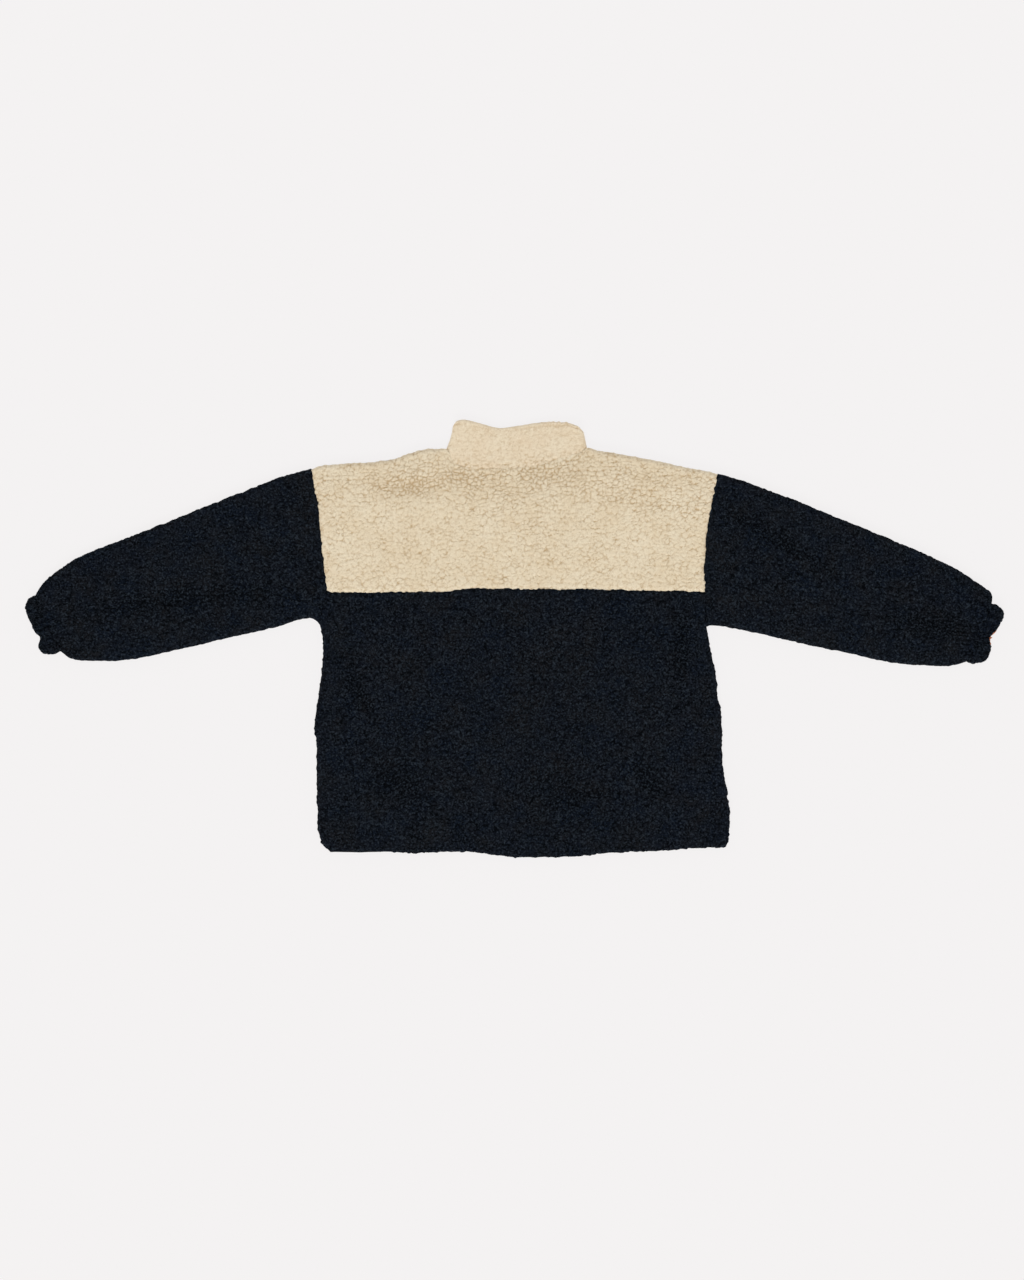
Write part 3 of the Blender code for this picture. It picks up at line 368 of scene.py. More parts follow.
def curls(points, seed, size, opening):
    """Height of the pile from 0 in its crevices to 1: domes round scattered points, parted by lines
    that are deepest where they run across the jacket and where opening is large, with smaller lumps
    and uneven tips on them."""
    leaning = np.stack([points[..., 0] + 0.5 * points[..., 2], points[..., 1] - 0.4 * points[..., 2]], -1)
    flat = leaning * np.array(CURL_STRETCH)
    flat = flat + 0.60 * size * (soft_noise(points, 1.3 * size, seed)[..., :2] - 0.5)
    flat = flat + 0.45 * size * (soft_noise(points, 0.55 * size, seed + 5)[..., :2] - 0.5)
    from_middle, to_line, level = partings(flat, size, seed + 1)
    crevice = (1.0 - np.clip(to_line / PARTING, 0.0, 1.0)) ** 2
    patches = soft_noise(points, OPEN_PATCH, seed + 2)[..., 0]
    open_share = eased(patches - 0.22 + 0.7 * (opening - 1.0), 0.36)
    closed = eased(soft_noise(points, CLOSED_PATCH, seed + 6)[..., 0] - 0.3, 0.4)
    strength = mixed(open_share, 1.0, 0.5) * mixed(level, 1.0, 0.5) * mixed(closed, 0.62, 1.12) * opening
    small_line, small_level = partings(flat, SMALL_CURL * size, seed + 3)[1:]
    small = 1.0 - eased(small_line, 0.4 * PARTING)
    dome = np.clip(1.0 - (from_middle / (0.75 * size)) ** 2, 0.0, 1.0)
    tips = soft_noise(points, TIP, seed + 4)[..., 0]
    return np.clip(0.63 + 0.26 * dome + 0.30 * (tips - 0.5) - 0.72 * crevice * strength
                   - 0.27 * small * mixed(small_level, 1.0, 0.6), 0.0, 1.0)


def uneven(along, reach, seed):
    """Small irregular step of an edge to one side: soft noise of three sizes along it, up to the
    given reach."""
    places = stacked(along, 0.0, 0.0)
    small, middling, large = (share * soft_noise(places, size, seed + turn)[..., 0]
                              for share, size, turn in ((1.1, 2.8, 2), (0.9, 5.0, 0), (0.5, 11.0, 1)))
    return reach * (small + middling + large - 1.25)


def border(dense, sparse, forward):
    """Faces between a finely divided edge and the coarser one behind it, one for each coarse step."""
    starts = np.arange(0, len(dense) - 1, EVERY)
    runs = dense[starts[:, None] + np.arange(EVERY + 1)]
    faces = np.concatenate([runs, sparse[1:, None], sparse[:-1, None]], axis=1)
    return faces if forward else faces[:, ::-1]


def place_mesh(name, points, face_groups, material):
    """Object from points in millimetres and arrays of faces, all faces of one array alike."""
    mesh = bpy.data.meshes.new(name)
    corners = np.concatenate([group.ravel() for group in face_groups])
    counts = np.concatenate([np.full(len(group), group.shape[1]) for group in face_groups])
    mesh.vertices.add(len(points))
    mesh.vertices.foreach_set("co", (np.asarray(points) * METRES).astype(np.float32).ravel())
    mesh.loops.add(len(corners))
    mesh.loops.foreach_set("vertex_index", corners.astype(np.int32))
    mesh.polygons.add(len(counts))
    mesh.polygons.foreach_set("loop_start", (np.cumsum(counts) - counts).astype(np.int32))
    mesh.update(calc_edges=True)
    mesh.validate()
    mesh.shade_smooth()
    mesh.materials.append(material)
    made = bpy.data.objects.new(name, mesh)
    scene.collection.objects.link(made)
    return made


def grid_faces(index):
    """Four-cornered faces of a grid of point numbers."""
    return np.stack([index[:-1, :-1], index[:-1, 1:], index[1:, 1:], index[1:, :-1]], -1).reshape(-1, 4)


def facing(grid, ring):
    """Unit directions square to a grid of points: the step along its columns times the step up its
    rows, as a cross product."""
    if ring:
        across = np.roll(grid, -1, axis=1) - np.roll(grid, 1, axis=1)
    else:
        across = np.gradient(grid, axis=1)
    up = np.gradient(grid, axis=0)
    square = np.cross(across, up)
    return square / np.maximum(np.linalg.norm(square, axis=-1, keepdims=True), 1e-9)


def cloth(name, faces, material, seed, ring=False, outward=1.0, proud=PILE_PROUD, size=CURL, calm=1.0,
          crease=0.0, opening=1.0):
    """Closed wall of sherpa between its two faces, an outer and an inner grid of points.

    Each outer point moves along the outer face's own direction by the pile's depth times its
    height, less the part of the depth that lies inside the plain face. calm scales that move,
    crease lowers the pile's height where a line is drawn in it, and where the cloth sinks into a
    fold the pile opens and is lowered, which also darkens it towards the crevice colour as painted
    shade in the fold. The pile's height is kept for the finish, which paints low pile in the
    darker crevice colour as painted shade; a rounded edge gets the tips' lighter colour alone, a
    painted lightening against the shade that falls on the edge. The inner grid keeps every sixth
    point.
    """
    outer, inner = faces
    # painted shade: in a fold's trough the pile is opened and lowered, which sinks it and darkens its
    # colour
    sunk_and_shaded = np.clip(-bells(FOLDS, outer[..., 0], outer[..., 1]), 0.0, 1.5) * (outer[..., 2] > MIDDLE)
    height = curls(outer, seed, size, opening * (0.85 + 0.45 * sunk_and_shaded))
    height = np.clip(height - 0.13 * sunk_and_shaded - crease, 0.0, 1.0)
    step = (height * PILE_DEPTH - (PILE_DEPTH - proud)) * calm
    moved = outer + outward * facing(outer, ring) * step[..., None]
    moved[..., 2] = np.maximum(moved[..., 2], 0.0)
    sparse = inner[::EVERY, ::EVERY]
    rows, columns = outer.shape[:2]
    fine = np.arange(rows * columns).reshape(rows, columns)
    coarse = rows * columns + np.arange(sparse.shape[0] * sparse.shape[1]).reshape(sparse.shape[:2])
    if ring:
        fine = np.concatenate([fine, fine[:, :1]], axis=1)
        coarse = np.concatenate([coarse, coarse[:, :1]], axis=1)
    groups = [grid_faces(fine), grid_faces(coarse)[:, ::-1],
              border(fine[0], coarse[0], False), border(fine[-1], coarse[-1], True)]
    if not ring:
        groups += [border(fine[:, 0], coarse[:, 0], True), border(fine[:, -1], coarse[:, -1], False)]
    if outward < 0.0:
        groups = [group[:, ::-1] for group in groups]
    made = place_mesh(name, np.concatenate([moved.reshape(-1, 3), sparse.reshape(-1, 3)]), groups, material)
    # painted light: rounded edges take the tips' lighter colour against the shade that falls on them
    pile_with_lightened_edges = np.maximum(height, 1.05 - 1.3 * np.abs(outer[..., 2] - MIDDLE) / RISE)
    pile = np.concatenate([pile_with_lightened_edges.ravel(), np.full(sparse.shape[0] * sparse.shape[1], 0.5)])
    made.data.attributes.new("pile", "FLOAT", "POINT").data.foreach_set("value", pile.astype(np.float32))
    return made


def shares(width, middle, low_rim=True, high_rim=True):
    """Shares of a width: even steps in the middle, and at its rims steps that follow the arc of a
    rounded edge. All the numbers of steps can be divided by EVERY."""
    rim = WALL * (1.0 - np.cos(np.linspace(0.0, math.pi / 2.0, EVERY + 1))) / width
    low, high = (rim[:-1] if low_rim else rim[:0]), (rim[:-1] if high_rim else rim[:0])
    start, end = (rim[-1] if low_rim else 0.0), (rim[-1] if high_rim else 0.0)
    return np.concatenate([low, np.linspace(start, 1.0 - end, middle + 1), 1.0 - high[::-1]])


def panel_grid(left, right, low, high, across, up, top_places=None):
    """Points of a panel: each row's share of the way between its side lines, each column's share of
    the way between its low and high lines; with the distances from the four edges."""
    across, up = np.meshgrid(across, up)
    y = between(low, high, up)
    x_left, x_right = left(y), right(y)
    x = between(x_left, x_right, across)
    if top_places is not None:
        x = x + (top_places - x[-1]) * up ** 4
    return x, y, (x - x_left, x_right - x, y - low, high - y)


def outline_shares(distance, sewn, dip=SEAM_DIP):
    """Outer, inner and loft shares beside an edge; sewn is 1 on a flat seam, 0 on the outline."""
    outer = mixed(sewn, dipped(distance, dip), rolled(distance))
    inner = mixed(sewn, 1.0, eased(distance - WALL, WALL))
    loft = mixed(sewn, 1.0, eased(distance, LOFT_WIDTH))
    return np.stack([outer, inner, loft])


def soft_swell(x, y, seed):
    """Slow unevenness of the pile's level, from soft noise of two sizes."""
    places = stacked(x, y, 0.0)
    broad, narrow = soft_noise(places, 46.0, seed)[..., 0], soft_noise(places, 19.0, seed + 1)[..., 1]
    return 0.7 * (broad + 0.6 * narrow - 0.8)


def back_layer(x, y, share, loft_share, seed):
    """Outer and inner heights of a back panel: the middle plane plus the rise and lift, by shares."""
    raised = lift(x, y, loft_share) + soft_swell(x, y, seed) * loft_share
    outer = MIDDLE + HALF_SEAM + (RISE - HALF_SEAM + raised) * share[0]
    inner = MIDDLE + HALF_SEAM + (RISE - WALL - HALF_SEAM + np.maximum(raised, 0.0)) * share[1]
    return outer, inner


def faces_at(x, y, heights):
    """Outer and inner faces: two grids of points at the same places, each at its own heights."""
    return [stacked(x, y, z) for z in heights]


def side_line(rows, seed):
    """The place of a side of the jacket at each height: a smooth line, uneven as its pile is."""
    return lambda y: smooth(rows, y) + uneven(y, SIDE_UNEVEN, seed)


left_side, right_side = side_line(LEFT_SIDE, 11), side_line(RIGHT_SIDE, 21)


def chest_seam(x):
    """Height of the seam between the yoke and the lower back."""
    return smooth(CHEST_SEAM, x) + uneven(x, SEAM_UNEVEN, 31)


def neck_line(x):
    """Height of the back neckline, uneven between its two ends."""
    ends = eased(x - BACK_NECK[0][0], NECK_CORNER) * eased(BACK_NECK[-1][0] - x, NECK_CORNER)
    return smooth(BACK_NECK, x) + uneven(x, NECK_UNEVEN, 61) * ends


def top_line(x):
    """Height of the shoulders and the back of the neck."""
    neck = (x > BACK_NECK[0][0]) & (x < BACK_NECK[-1][0])
    shoulders = np.where(x < 0.0, smooth(SHOULDERS, x), smooth(RIGHT_SHOULDER, x))
    return np.where(neck, neck_line(x), shoulders + uneven(x, SHOULDER_UNEVEN, 71))


def maths(tree, operation, *values, **settings):
    """Result of one sum on sockets and numbers."""
    return node(tree, "Math", dict(enumerate(values)), operation=operation, **settings).outputs[0]


def raised_by(material, height, strength, depth):
    """The pattern's height is the material's relief; depth is in metres."""
    tree = material.node_tree
    relief = node(tree, "Bump", {"Height": height, "Strength": strength, "Distance": depth})
    tree.links.new(relief.outputs["Normal"], finish_of(material)["Normal"])


def sherpa_detail():
    """Node group for the pile's finer detail: how high a place stands in the pile, whose low places
    the finish paints in the darker crevice colour as painted shade, slow mottle, fine speckle
    that places the painted highlights, and the height of the loops. Relief is the share of the
    curls' own height, Level the height that counts as half way up, and Loops the share of the loops."""
    group = bpy.data.node_groups.new("sherpa_detail", "ShaderNodeTree")
    for way, kind, names in (("INPUT", "Vector", ("Place",)),
                             ("INPUT", "Float", ("Pile", "Relief", "Level", "Loops")),
                             ("OUTPUT", "Float", ("Depth", "Mottle", "Speckle", "Height"))):
        for name in names:
            group.interface.new_socket(name=name, in_out=way, socket_type="NodeSocket" + kind)
    given, result = group.nodes.new("NodeGroupInput").outputs, group.nodes.new("NodeGroupOutput").inputs

    def noise(place, scale, detail, roughness=0.5, distortion=0.0):
        return node(group, "TexNoise", {"Vector": place, "Scale": scale, "Detail": detail,
                                        "Roughness": roughness, "Distortion": distortion}).outputs

    place = given["Place"]
    astray = node(group, "VectorMath", {0: noise(place, 260.0, 1.0)["Color"], 1: (0.0026, 0.0026, 0.0026),
                                        2: place}, operation="MULTIPLY_ADD").outputs[0]
    loops = node(group, "TexVoronoi", {"Vector": astray, "Scale": 370.0}, feature="DISTANCE_TO_EDGE")
    gaps = ranged(group, loops.outputs["Distance"], 0.0, 0.26, interpolation_type="SMOOTHSTEP")
    fine = maths(group, "MULTIPLY_ADD", gaps, 0.5, noise(place, 850.0, 3.0, 0.6, 1.6)["Fac"])
    over = maths(group, "SUBTRACT", given["Pile"], given["Level"])
    relief = maths(group, "MULTIPLY_ADD", over, given["Relief"], 0.5)
    fine_over = maths(group, "SUBTRACT", fine, 0.9)
    depth = maths(group, "MULTIPLY_ADD", fine_over, given["Loops"], relief, use_clamp=True)
    for name, socket in (("Depth", depth), ("Mottle", noise(place, 38.0, 3.0, 0.6)["Fac"]),
                         ("Speckle", noise(astray, 460.0, 1.5, 0.6)["Fac"]), ("Height", fine)):
        group.links.new(socket, result[name])
    return group


DETAIL = sherpa_detail()


def sherpa(name, crevice, tip, blush, painted_glint, specular, sheen, relief, level, loops, bump, painted_glint_range):
    """Sherpa finish from four screen colours: a slow blush over the tips, a darker crevice colour
    between them that is painted shade, and a lighter glint colour, a painted highlight, where the
    speckle passes two threshold values."""
    made = new_material(name, 0.95, specular=specular)
    finish, tree = finish_of(made), made.node_tree
    finish["Sheen Weight"].default_value = sheen
    finish["Sheen Roughness"].default_value = 0.35
    finish["Sheen Tint"].default_value = (1.0, 0.96, 0.88, 1.0)
    detail = node(tree, "Group", {
        "Place": node(tree, "TexCoord").outputs["Object"],
        "Pile": node(tree, "Attribute", attribute_name="pile").outputs["Fac"],
        "Relief": relief, "Level": level, "Loops": loops}, node_tree=DETAIL).outputs
    body = blended(tree, ranged(tree, detail["Mottle"], 0.35, 0.65), paint(*tip), paint(*blush))
    # painted shade: the darker crevice colour where the pile stands low
    crevice_shaded = blended(tree, detail["Depth"], paint(*crevice), body)
    # painted highlight: the glint colour where the speckle passes its thresholds
    coloured(made, ranged(tree, detail["Speckle"], *painted_glint_range), crevice_shaded, paint(*painted_glint))
    raised_by(made, detail["Height"], bump, 0.0007)
    return made


# Cream pile: the crevice colour is painted shade and the glint colour a painted highlight.
cream = sherpa("cream_sherpa_pile", crevice=(185, 158, 121), tip=(225, 211, 185), blush=(220, 203, 174),
               painted_glint=(231, 218, 194), specular=0.2, sheen=0.8, relief=1.5, level=0.34, loops=0.45, bump=0.4,
               painted_glint_range=(0.56, 0.78))


def worn(piece, cad_node):
    """The cloth piece stands for its solid, which is hidden, and rides on the jacket."""
    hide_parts(cad_node)
    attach(piece, "jacket")


def on_neck(x, low, high):
    """1 along the seam of the collar, 0 along the shoulders, eased between them."""
    return eased(x - low + NECK_EASE, NECK_EASE) * eased(high + NECK_EASE - x, NECK_EASE)


yoke_across = shares(BACK_WIDTH, 540)
yoke_x = between(LEFT_SIDE[0][1], RIGHT_SIDE[0][1], yoke_across)
seam_x = between(CHEST_SEAM[0][0], CHEST_SEAM[-1][0], yoke_across)
x, y, edges = panel_grid(left_side, right_side, chest_seam(seam_x) + HALF_SEAM, top_line(yoke_x),
                         yoke_across, shares(YOKE_LENGTH, 150, low_rim=False))
share = (outline_shares(edges[3], on_neck(x, BACK_NECK[0][0], BACK_NECK[-1][0]), NECK_DIP)
         * outline_shares(edges[0], 1.0) * outline_shares(edges[1], 1.0) * outline_shares(edges[2], 1.0))
# A band below the neck with more open pile, whose crevice colour also paints the band's shade.
open_and_shaded_under_neck = np.exp(-((edges[3] - UNDER_NECK) / UNDER_NECK) ** 2)
# A row of opened crevices just under the collar's seam, whose crevice colour paints the shade under the
# collar.
crevices_and_shade_beside_seam = (np.exp(-((edges[3] - CREVICES_IN - uneven(x, 3.0, 65)) / CREVICES_HALF) ** 2)
               * on_neck(x, BACK_NECK[0][0] + NECK_CORNER, BACK_NECK[-1][0] - NECK_CORNER))
heights = back_layer(x, y, share, eased(edges[3], LOFT_WIDTH), 3)
back_yoke = cloth("back_yoke_pile", faces_at(x, y, heights), cream, 100,
                  opening=mixed(open_and_shaded_under_neck, 1.2, 0.88) + 0.4 * crevices_and_shade_beside_seam)
worn(back_yoke, "back_yoke")

# Lower back: navy sherpa from the chest seam down to the turned hem, its upper sides sewn into the
# armholes and its lower ones to the front at the side seams.
LEFT_ARMPIT_Y, RIGHT_ARMPIT_Y = 14.3, 12.7
LOWER_LENGTH = 287.0
HEM_UNEVEN = 0.9
NAVY_CURL = 5.2
HEM = (
    (-201.0, -232.9), (-140.8, -233.8), (-113.3, -235.4), (-80.3, -234.3), (-47.3, -233.8),
    (-25.3, -237.1), (7.7, -240.4), (40.0, -240.3), (84.7, -237.6), (106.7, -234.9),
    (139.7, -234.3), (194.7, -230.5), (234.0, -229.0),
)


def below_armpit(y, armpit_y):
    """1 along the armhole, 0 along the open side below it."""
    return eased(y - armpit_y + 8.0, 12.0)


def drawn_in(outer, inner, share):
    """Both heights drawn together: their middle plus a share of the way from it."""
    middle = (outer + inner) / 2.0
    return middle + (outer - middle) * share, middle + (inner - middle) * share


def turned(outer, inner, distance):
    """Both heights drawn together towards a turned edge, which rounds over."""
    return drawn_in(outer, inner, rolled(distance, WALL / 2.0))


# Navy pile: the near-black crevice colour is painted shade and the glint colour a painted highlight.
navy = sherpa("navy_sherpa_pile", crevice=(3, 5, 8), tip=(16, 23, 34), blush=(25, 26, 29),
              painted_glint=(41, 48, 56), specular=0.03, sheen=0.0, relief=1.6, level=0.54, loops=1.1, bump=0.6,
              painted_glint_range=(0.5, 0.76))

across = shares(BACK_WIDTH, 354)
seam_x = between(CHEST_SEAM[0][0], CHEST_SEAM[-1][0], across)
hem_x = between(HEM[0][0], HEM[-1][0], across)
x, y, edges = panel_grid(left_side, right_side, smooth(HEM, hem_x) + uneven(hem_x, HEM_UNEVEN, 41),
                         chest_seam(seam_x) - HALF_SEAM, across, shares(LOWER_LENGTH, 228, high_rim=False))
share = (outline_shares(edges[0], below_armpit(y, LEFT_ARMPIT_Y))
         * outline_shares(edges[1], below_armpit(y, RIGHT_ARMPIT_Y)) * outline_shares(edges[3], 1.0))
loft = share[2] * mixed(0.35, 1.0, eased(edges[2], LOFT_WIDTH))
heights = turned(*back_layer(x, y, share, loft, 5), edges[2])
back_lower = cloth("back_lower_pile", faces_at(x, y, heights), navy, 200, size=NAVY_CURL)
worn(back_lower, "back_lower")

# Fronts: a cream yoke and a navy lower part on each side of the zip, the same cloth as the back,
# pressed flat by the jacket's weight, with a few shallow creases.
ZIP_X, SLOT_HALF = 6.0, 5.0
FRONT_WIDTH = 220.0
FRONT_NECK_Y, FRONT_NECK_FORM = 136.0, 2.6
COLLAR_BASE_Y = 209.0
PEEPS_OUT, HIDES, PEEP_END_X = 2.0, 1.5, -120.0     # the front's hem peeps out on the left alone
FRONT_HEM_UNEVEN = 0.6
STITCHES_IN, GROOVE_DEPTH, GROOVE_HALF = 6.0, 0.9, 1.6
FRONT_FOLDS = (
    # x, y, half_length, half_width, turn, depth
    (-150.0, -20.0, 40.0, 9.0, 62.0, 0.9), (-96.0, -150.0, 52.0, 12.0, 35.0, 0.7),
    (-60.0, 20.0, 34.0, 10.0, 80.0, 0.6), (96.0, -8.0, 46.0, 10.0, -66.0, 0.9),
    (160.0, -120.0, 40.0, 11.0, -40.0, 0.8), (70.0, -190.0, 36.0, 13.0, 12.0, 0.6),
    (-120.0, 120.0, 44.0, 10.0, 24.0, 0.8), (128.0, 128.0, 48.0, 11.0, -20.0, 0.7),
)
SIDES = {
    # sign, rows of the side, its line, end of the collar's seam, height of the armpit
    "left": (-1.0, LEFT_SIDE, left_side, BACK_NECK[0][0], LEFT_ARMPIT_Y),
    "right": (1.0, RIGHT_SIDE, right_side, BACK_NECK[-1][0], RIGHT_ARMPIT_Y),
}


def front_neck(x, base, edge):
    """Height of the front neckline: from the zip it rises with a power of the share of the way."""
    q = np.clip((edge - x) / (edge - base), 0.0, 1.0)
    return between(FRONT_NECK_Y, COLLAR_BASE_Y, q ** FRONT_NECK_FORM)


def front_layer(x, y, share):
    """Outer and inner heights of a front panel, the back's form upside down, with its creases."""
    outer = MIDDLE - HALF_SEAM - (RISE - HALF_SEAM - bells(FRONT_FOLDS, x, y)) * share[0]
    inner = MIDDLE - HALF_SEAM - (RISE - WALL - HALF_SEAM) * share[1]
    return outer, inner


def front_panel(name, side, x, y, edges, heights, material, seed, size):
    """One panel of a front, turned in at the zip's edge. The zip's stitches draw a groove beside that
    edge, a narrow bell across it."""
    to_zip = np.abs(edges[1])
    groove = GROOVE_DEPTH * np.exp(-((to_zip - STITCHES_IN) / GROOVE_HALF) ** 2)
    heights = turned(heights[0] + groove, heights[1], to_zip)
    piece = cloth(name + side + "_pile", faces_at(x, y, heights), material, seed, outward=SIDES[side][0],
                  proud=0.0, size=size)
    worn(piece, name + side)


def front(side, seed):
    """The two panels of one front, out from the zip's edge to the side."""
    sign, rows, line, base, armpit = SIDES[side]
    edge = ZIP_X + sign * SLOT_HALF
    straight = lambda y: edge + 0.0 * y
    across = shares(FRONT_WIDTH, 126)
    places = between(rows[0][1], edge, across)
    neck = (places - base) * sign < 0.0
    high = np.where(neck, front_neck(places, base, edge), top_line(places))
    seam = chest_seam(between(smooth(rows, CHEST_SEAM[0][1]), edge, across))
    x, y, edges = panel_grid(line, straight, seam + HALF_SEAM, high, across,
                             shares(YOKE_LENGTH, 78, low_rim=False), places)
    at_neck = eased((base - x) * sign + 4.0, 8.0)
    share = (outline_shares(edges[3], at_neck) * outline_shares(np.abs(edges[0]), 1.0)
             * outline_shares(edges[2], 1.0))
    front_panel("front_yoke_", side, x, y, edges, front_layer(x, y, share), cream, seed, CURL)

    hem = between(rows[-1][1], edge, across)
    drop = PEEPS_OUT * eased(PEEP_END_X - hem, 50.0) - HIDES * eased(hem - PEEP_END_X, 60.0)
    x, y, edges = panel_grid(line, straight, smooth(HEM, hem) - drop + uneven(hem, FRONT_HEM_UNEVEN, 51),
                             seam - HALF_SEAM, across, shares(LOWER_LENGTH, 168, high_rim=False))
    share = outline_shares(np.abs(edges[0]), below_armpit(y, armpit)) * outline_shares(edges[3], 1.0)
    front_panel("front_lower_", side, x, y, edges, turned(*front_layer(x, y, share), edges[2]), navy,
                seed + 10, NAVY_CURL)


front("left", 300)
front("right", 340)

# Sleeves: navy sherpa, set into a dropped armhole, folded along the top, seamed under the arm and
# drawn into small gathers by the cuff.
SLEEVES = {
    "left": {
        "high": ((-222.1, 186.5), (-247.5, 179.9), (-300.3, 160.1), (-366.3, 133.7),
                 (-432.3, 107.3), (-471.9, 91.9), (-498.3, 76.5), (-518.1, 58.9), (-525.3, 46.8)),
        "low": ((-212.3, 14.3), (-216.6, 19.6), (-222.5, 22.4), (-260.7, 12.7), (-313.5, 0.6),
                (-366.3, -11.6), (-419.1, -22.6), (-445.5, -24.8), (-471.9, -24.2),
                (-487.0, -21.4), (-497.6, -13.8)),
        "gather": ((-497.6, -13.8), (-512.8, 16.2), (-525.3, 46.8)),
    },
    "right": {
        "high": ((225.7, 181.0), (249.7, 174.4), (302.5, 154.6), (381.7, 122.7), (434.5, 100.7),
                 (487.3, 76.5), (501.2, 67.6), (505.8, 63.6), (513.7, 58.9), (519.3, 55.0),
                 (524.6, 50.6), (526.8, 45.5), (525.8, 38.5)),
        "low": ((212.8, 12.7), (217.5, 14.4), (223.3, 14.2), (262.9, 7.2), (315.7, -5.0),
                (368.5, -16.0), (421.3, -27.0), (447.7, -29.2), (474.1, -30.3),
                (488.0, -28.6), (499.0, -25.2)),
        "gather": ((499.0, -25.2), (514.5, 5.5), (525.8, 38.5)),
    },
}
GATHERS = 8
GATHER_HEIGHT, GATHER_REACH = 1.3, 30.0
PINCH = 0.82                # height left where the elastic draws the cloth in
SLEEVE_LENGTH, SLEEVE_WIDTH = 300.0, 110.0
PRESSED_HALF, PRESSED = 12.0, 0.4       # the pile is pressed beside the seam under the arm


def curve(points, share):
    """Points at shares of the length of a smooth curve through the given (x, y) points."""
    points = np.array(points, float)
    lengths = np.concatenate([[0.0], np.cumsum(np.hypot(*np.diff(points, axis=0).T))])
    at = np.asarray(share, float) * lengths[-1]
    return np.stack([smooth(np.stack([lengths, points[:, axis]], 1), at) for axis in (0, 1)], -1)


def patch(low, high, start, end, along, across):
    """Points between four curves: the low and high ones mixed across, plus the start and end ones
    mixed along, less the four corners mixed both ways."""
    u, v = np.meshgrid(along, across, indexing="ij")
    u, v = u[..., None], v[..., None]
    corners = ((1 - u) * (1 - v) * low(0.0) + u * (1 - v) * low(1.0)
               + (1 - u) * v * high(0.0) + u * v * high(1.0))
    return ((1 - v) * low(along)[:, None] + v * high(along)[:, None]
            + (1 - u) * start(across)[None] + u * end(across)[None] - corners)


def fading(share, steepness=16.0):
    """1 along a line, falling to 0 at both its ends."""
    share = np.asarray(share, float)
    return np.clip(steepness * np.minimum(share, 1.0 - share), 0.0, 1.0)


def lumpy(points, reach, seed, axis=1):
    """Curve through the points that wanders along one axis, by its unevenness along the other one."""
    def line(share):
        places = curve(points, share)
        places[..., axis] += uneven(places[..., 1 - axis], reach, seed) * fading(share)
        return places
    return line


def slot_share(across):
    """Height of the slot inside a tube, which closes towards its two side edges."""
    return np.sqrt(np.clip(1.0 - np.abs(2.0 * across - 1.0) ** 8, 0.0, 1.0))


def gathers(across, seed):
    """Waves across a sleeve end, of uneven width and height: a cosine whose place and size wander."""
    wander = 0.03 * np.sin(2.0 * math.pi * (1.7 * across + 0.13 * seed))
    wander = wander + 0.012 * np.sin(31.0 * across + seed)
    size = 0.85 + 0.45 * np.sin(2.0 * math.pi * (2.3 * across + 0.31 * seed))
    return GATHER_HEIGHT * size * np.cos(2.0 * math.pi * GATHERS * (across + wander))


def tube_ring(curves, along, top_across, low_across, heights):
    """Outer and inner rings of a flattened tube: over the top from the low line to the high one and
    back along the underside; the inner ring lies one wall inside the outer one."""
    low, high = curves[:2]
    widths = np.hypot(*(high(along) - low(along)).T)[:, None]
    rings = []
    for across, upper in ((top_across, True), (low_across, False)):
        points = patch(*curves, along, across)
        distance = np.minimum(across[None] * widths, (1.0 - across[None]) * widths)
        inset = WALL / widths
        inner_across = inset + across[None] * (1.0 - 2.0 * inset)
        every = np.linspace(0.0, 1.0, 81)
        flat = patch(*curves, along, every)
        inner_points = np.stack([
            np.stack([np.interp(inner_across[row], every, flat[row, :, axis]) for axis in (0, 1)], -1)
            for row in range(len(along))])
        grids = [np.concatenate([places, z[..., None]], -1) for places, z in zip(
            (points, inner_points), heights(points, inner_points, distance, along, across, upper))]
        rings.append(grids if upper else [grid[:, -2:0:-1] for grid in grids])
    return [np.concatenate([rings[0][part], rings[1][part]], axis=1) for part in (0, 1)]


def tube(name, side, curves, along, over, under, heights, seed, calm=1.0):
    """Piece of navy sherpa from the rings of a flattened tube."""
    piece = cloth(name + side + "_pile", tube_ring(curves, along, over, under, heights), navy, seed,
                  ring=True, outward=-SIDES[side][0], size=NAVY_CURL, calm=calm)
    worn(piece, name + side)


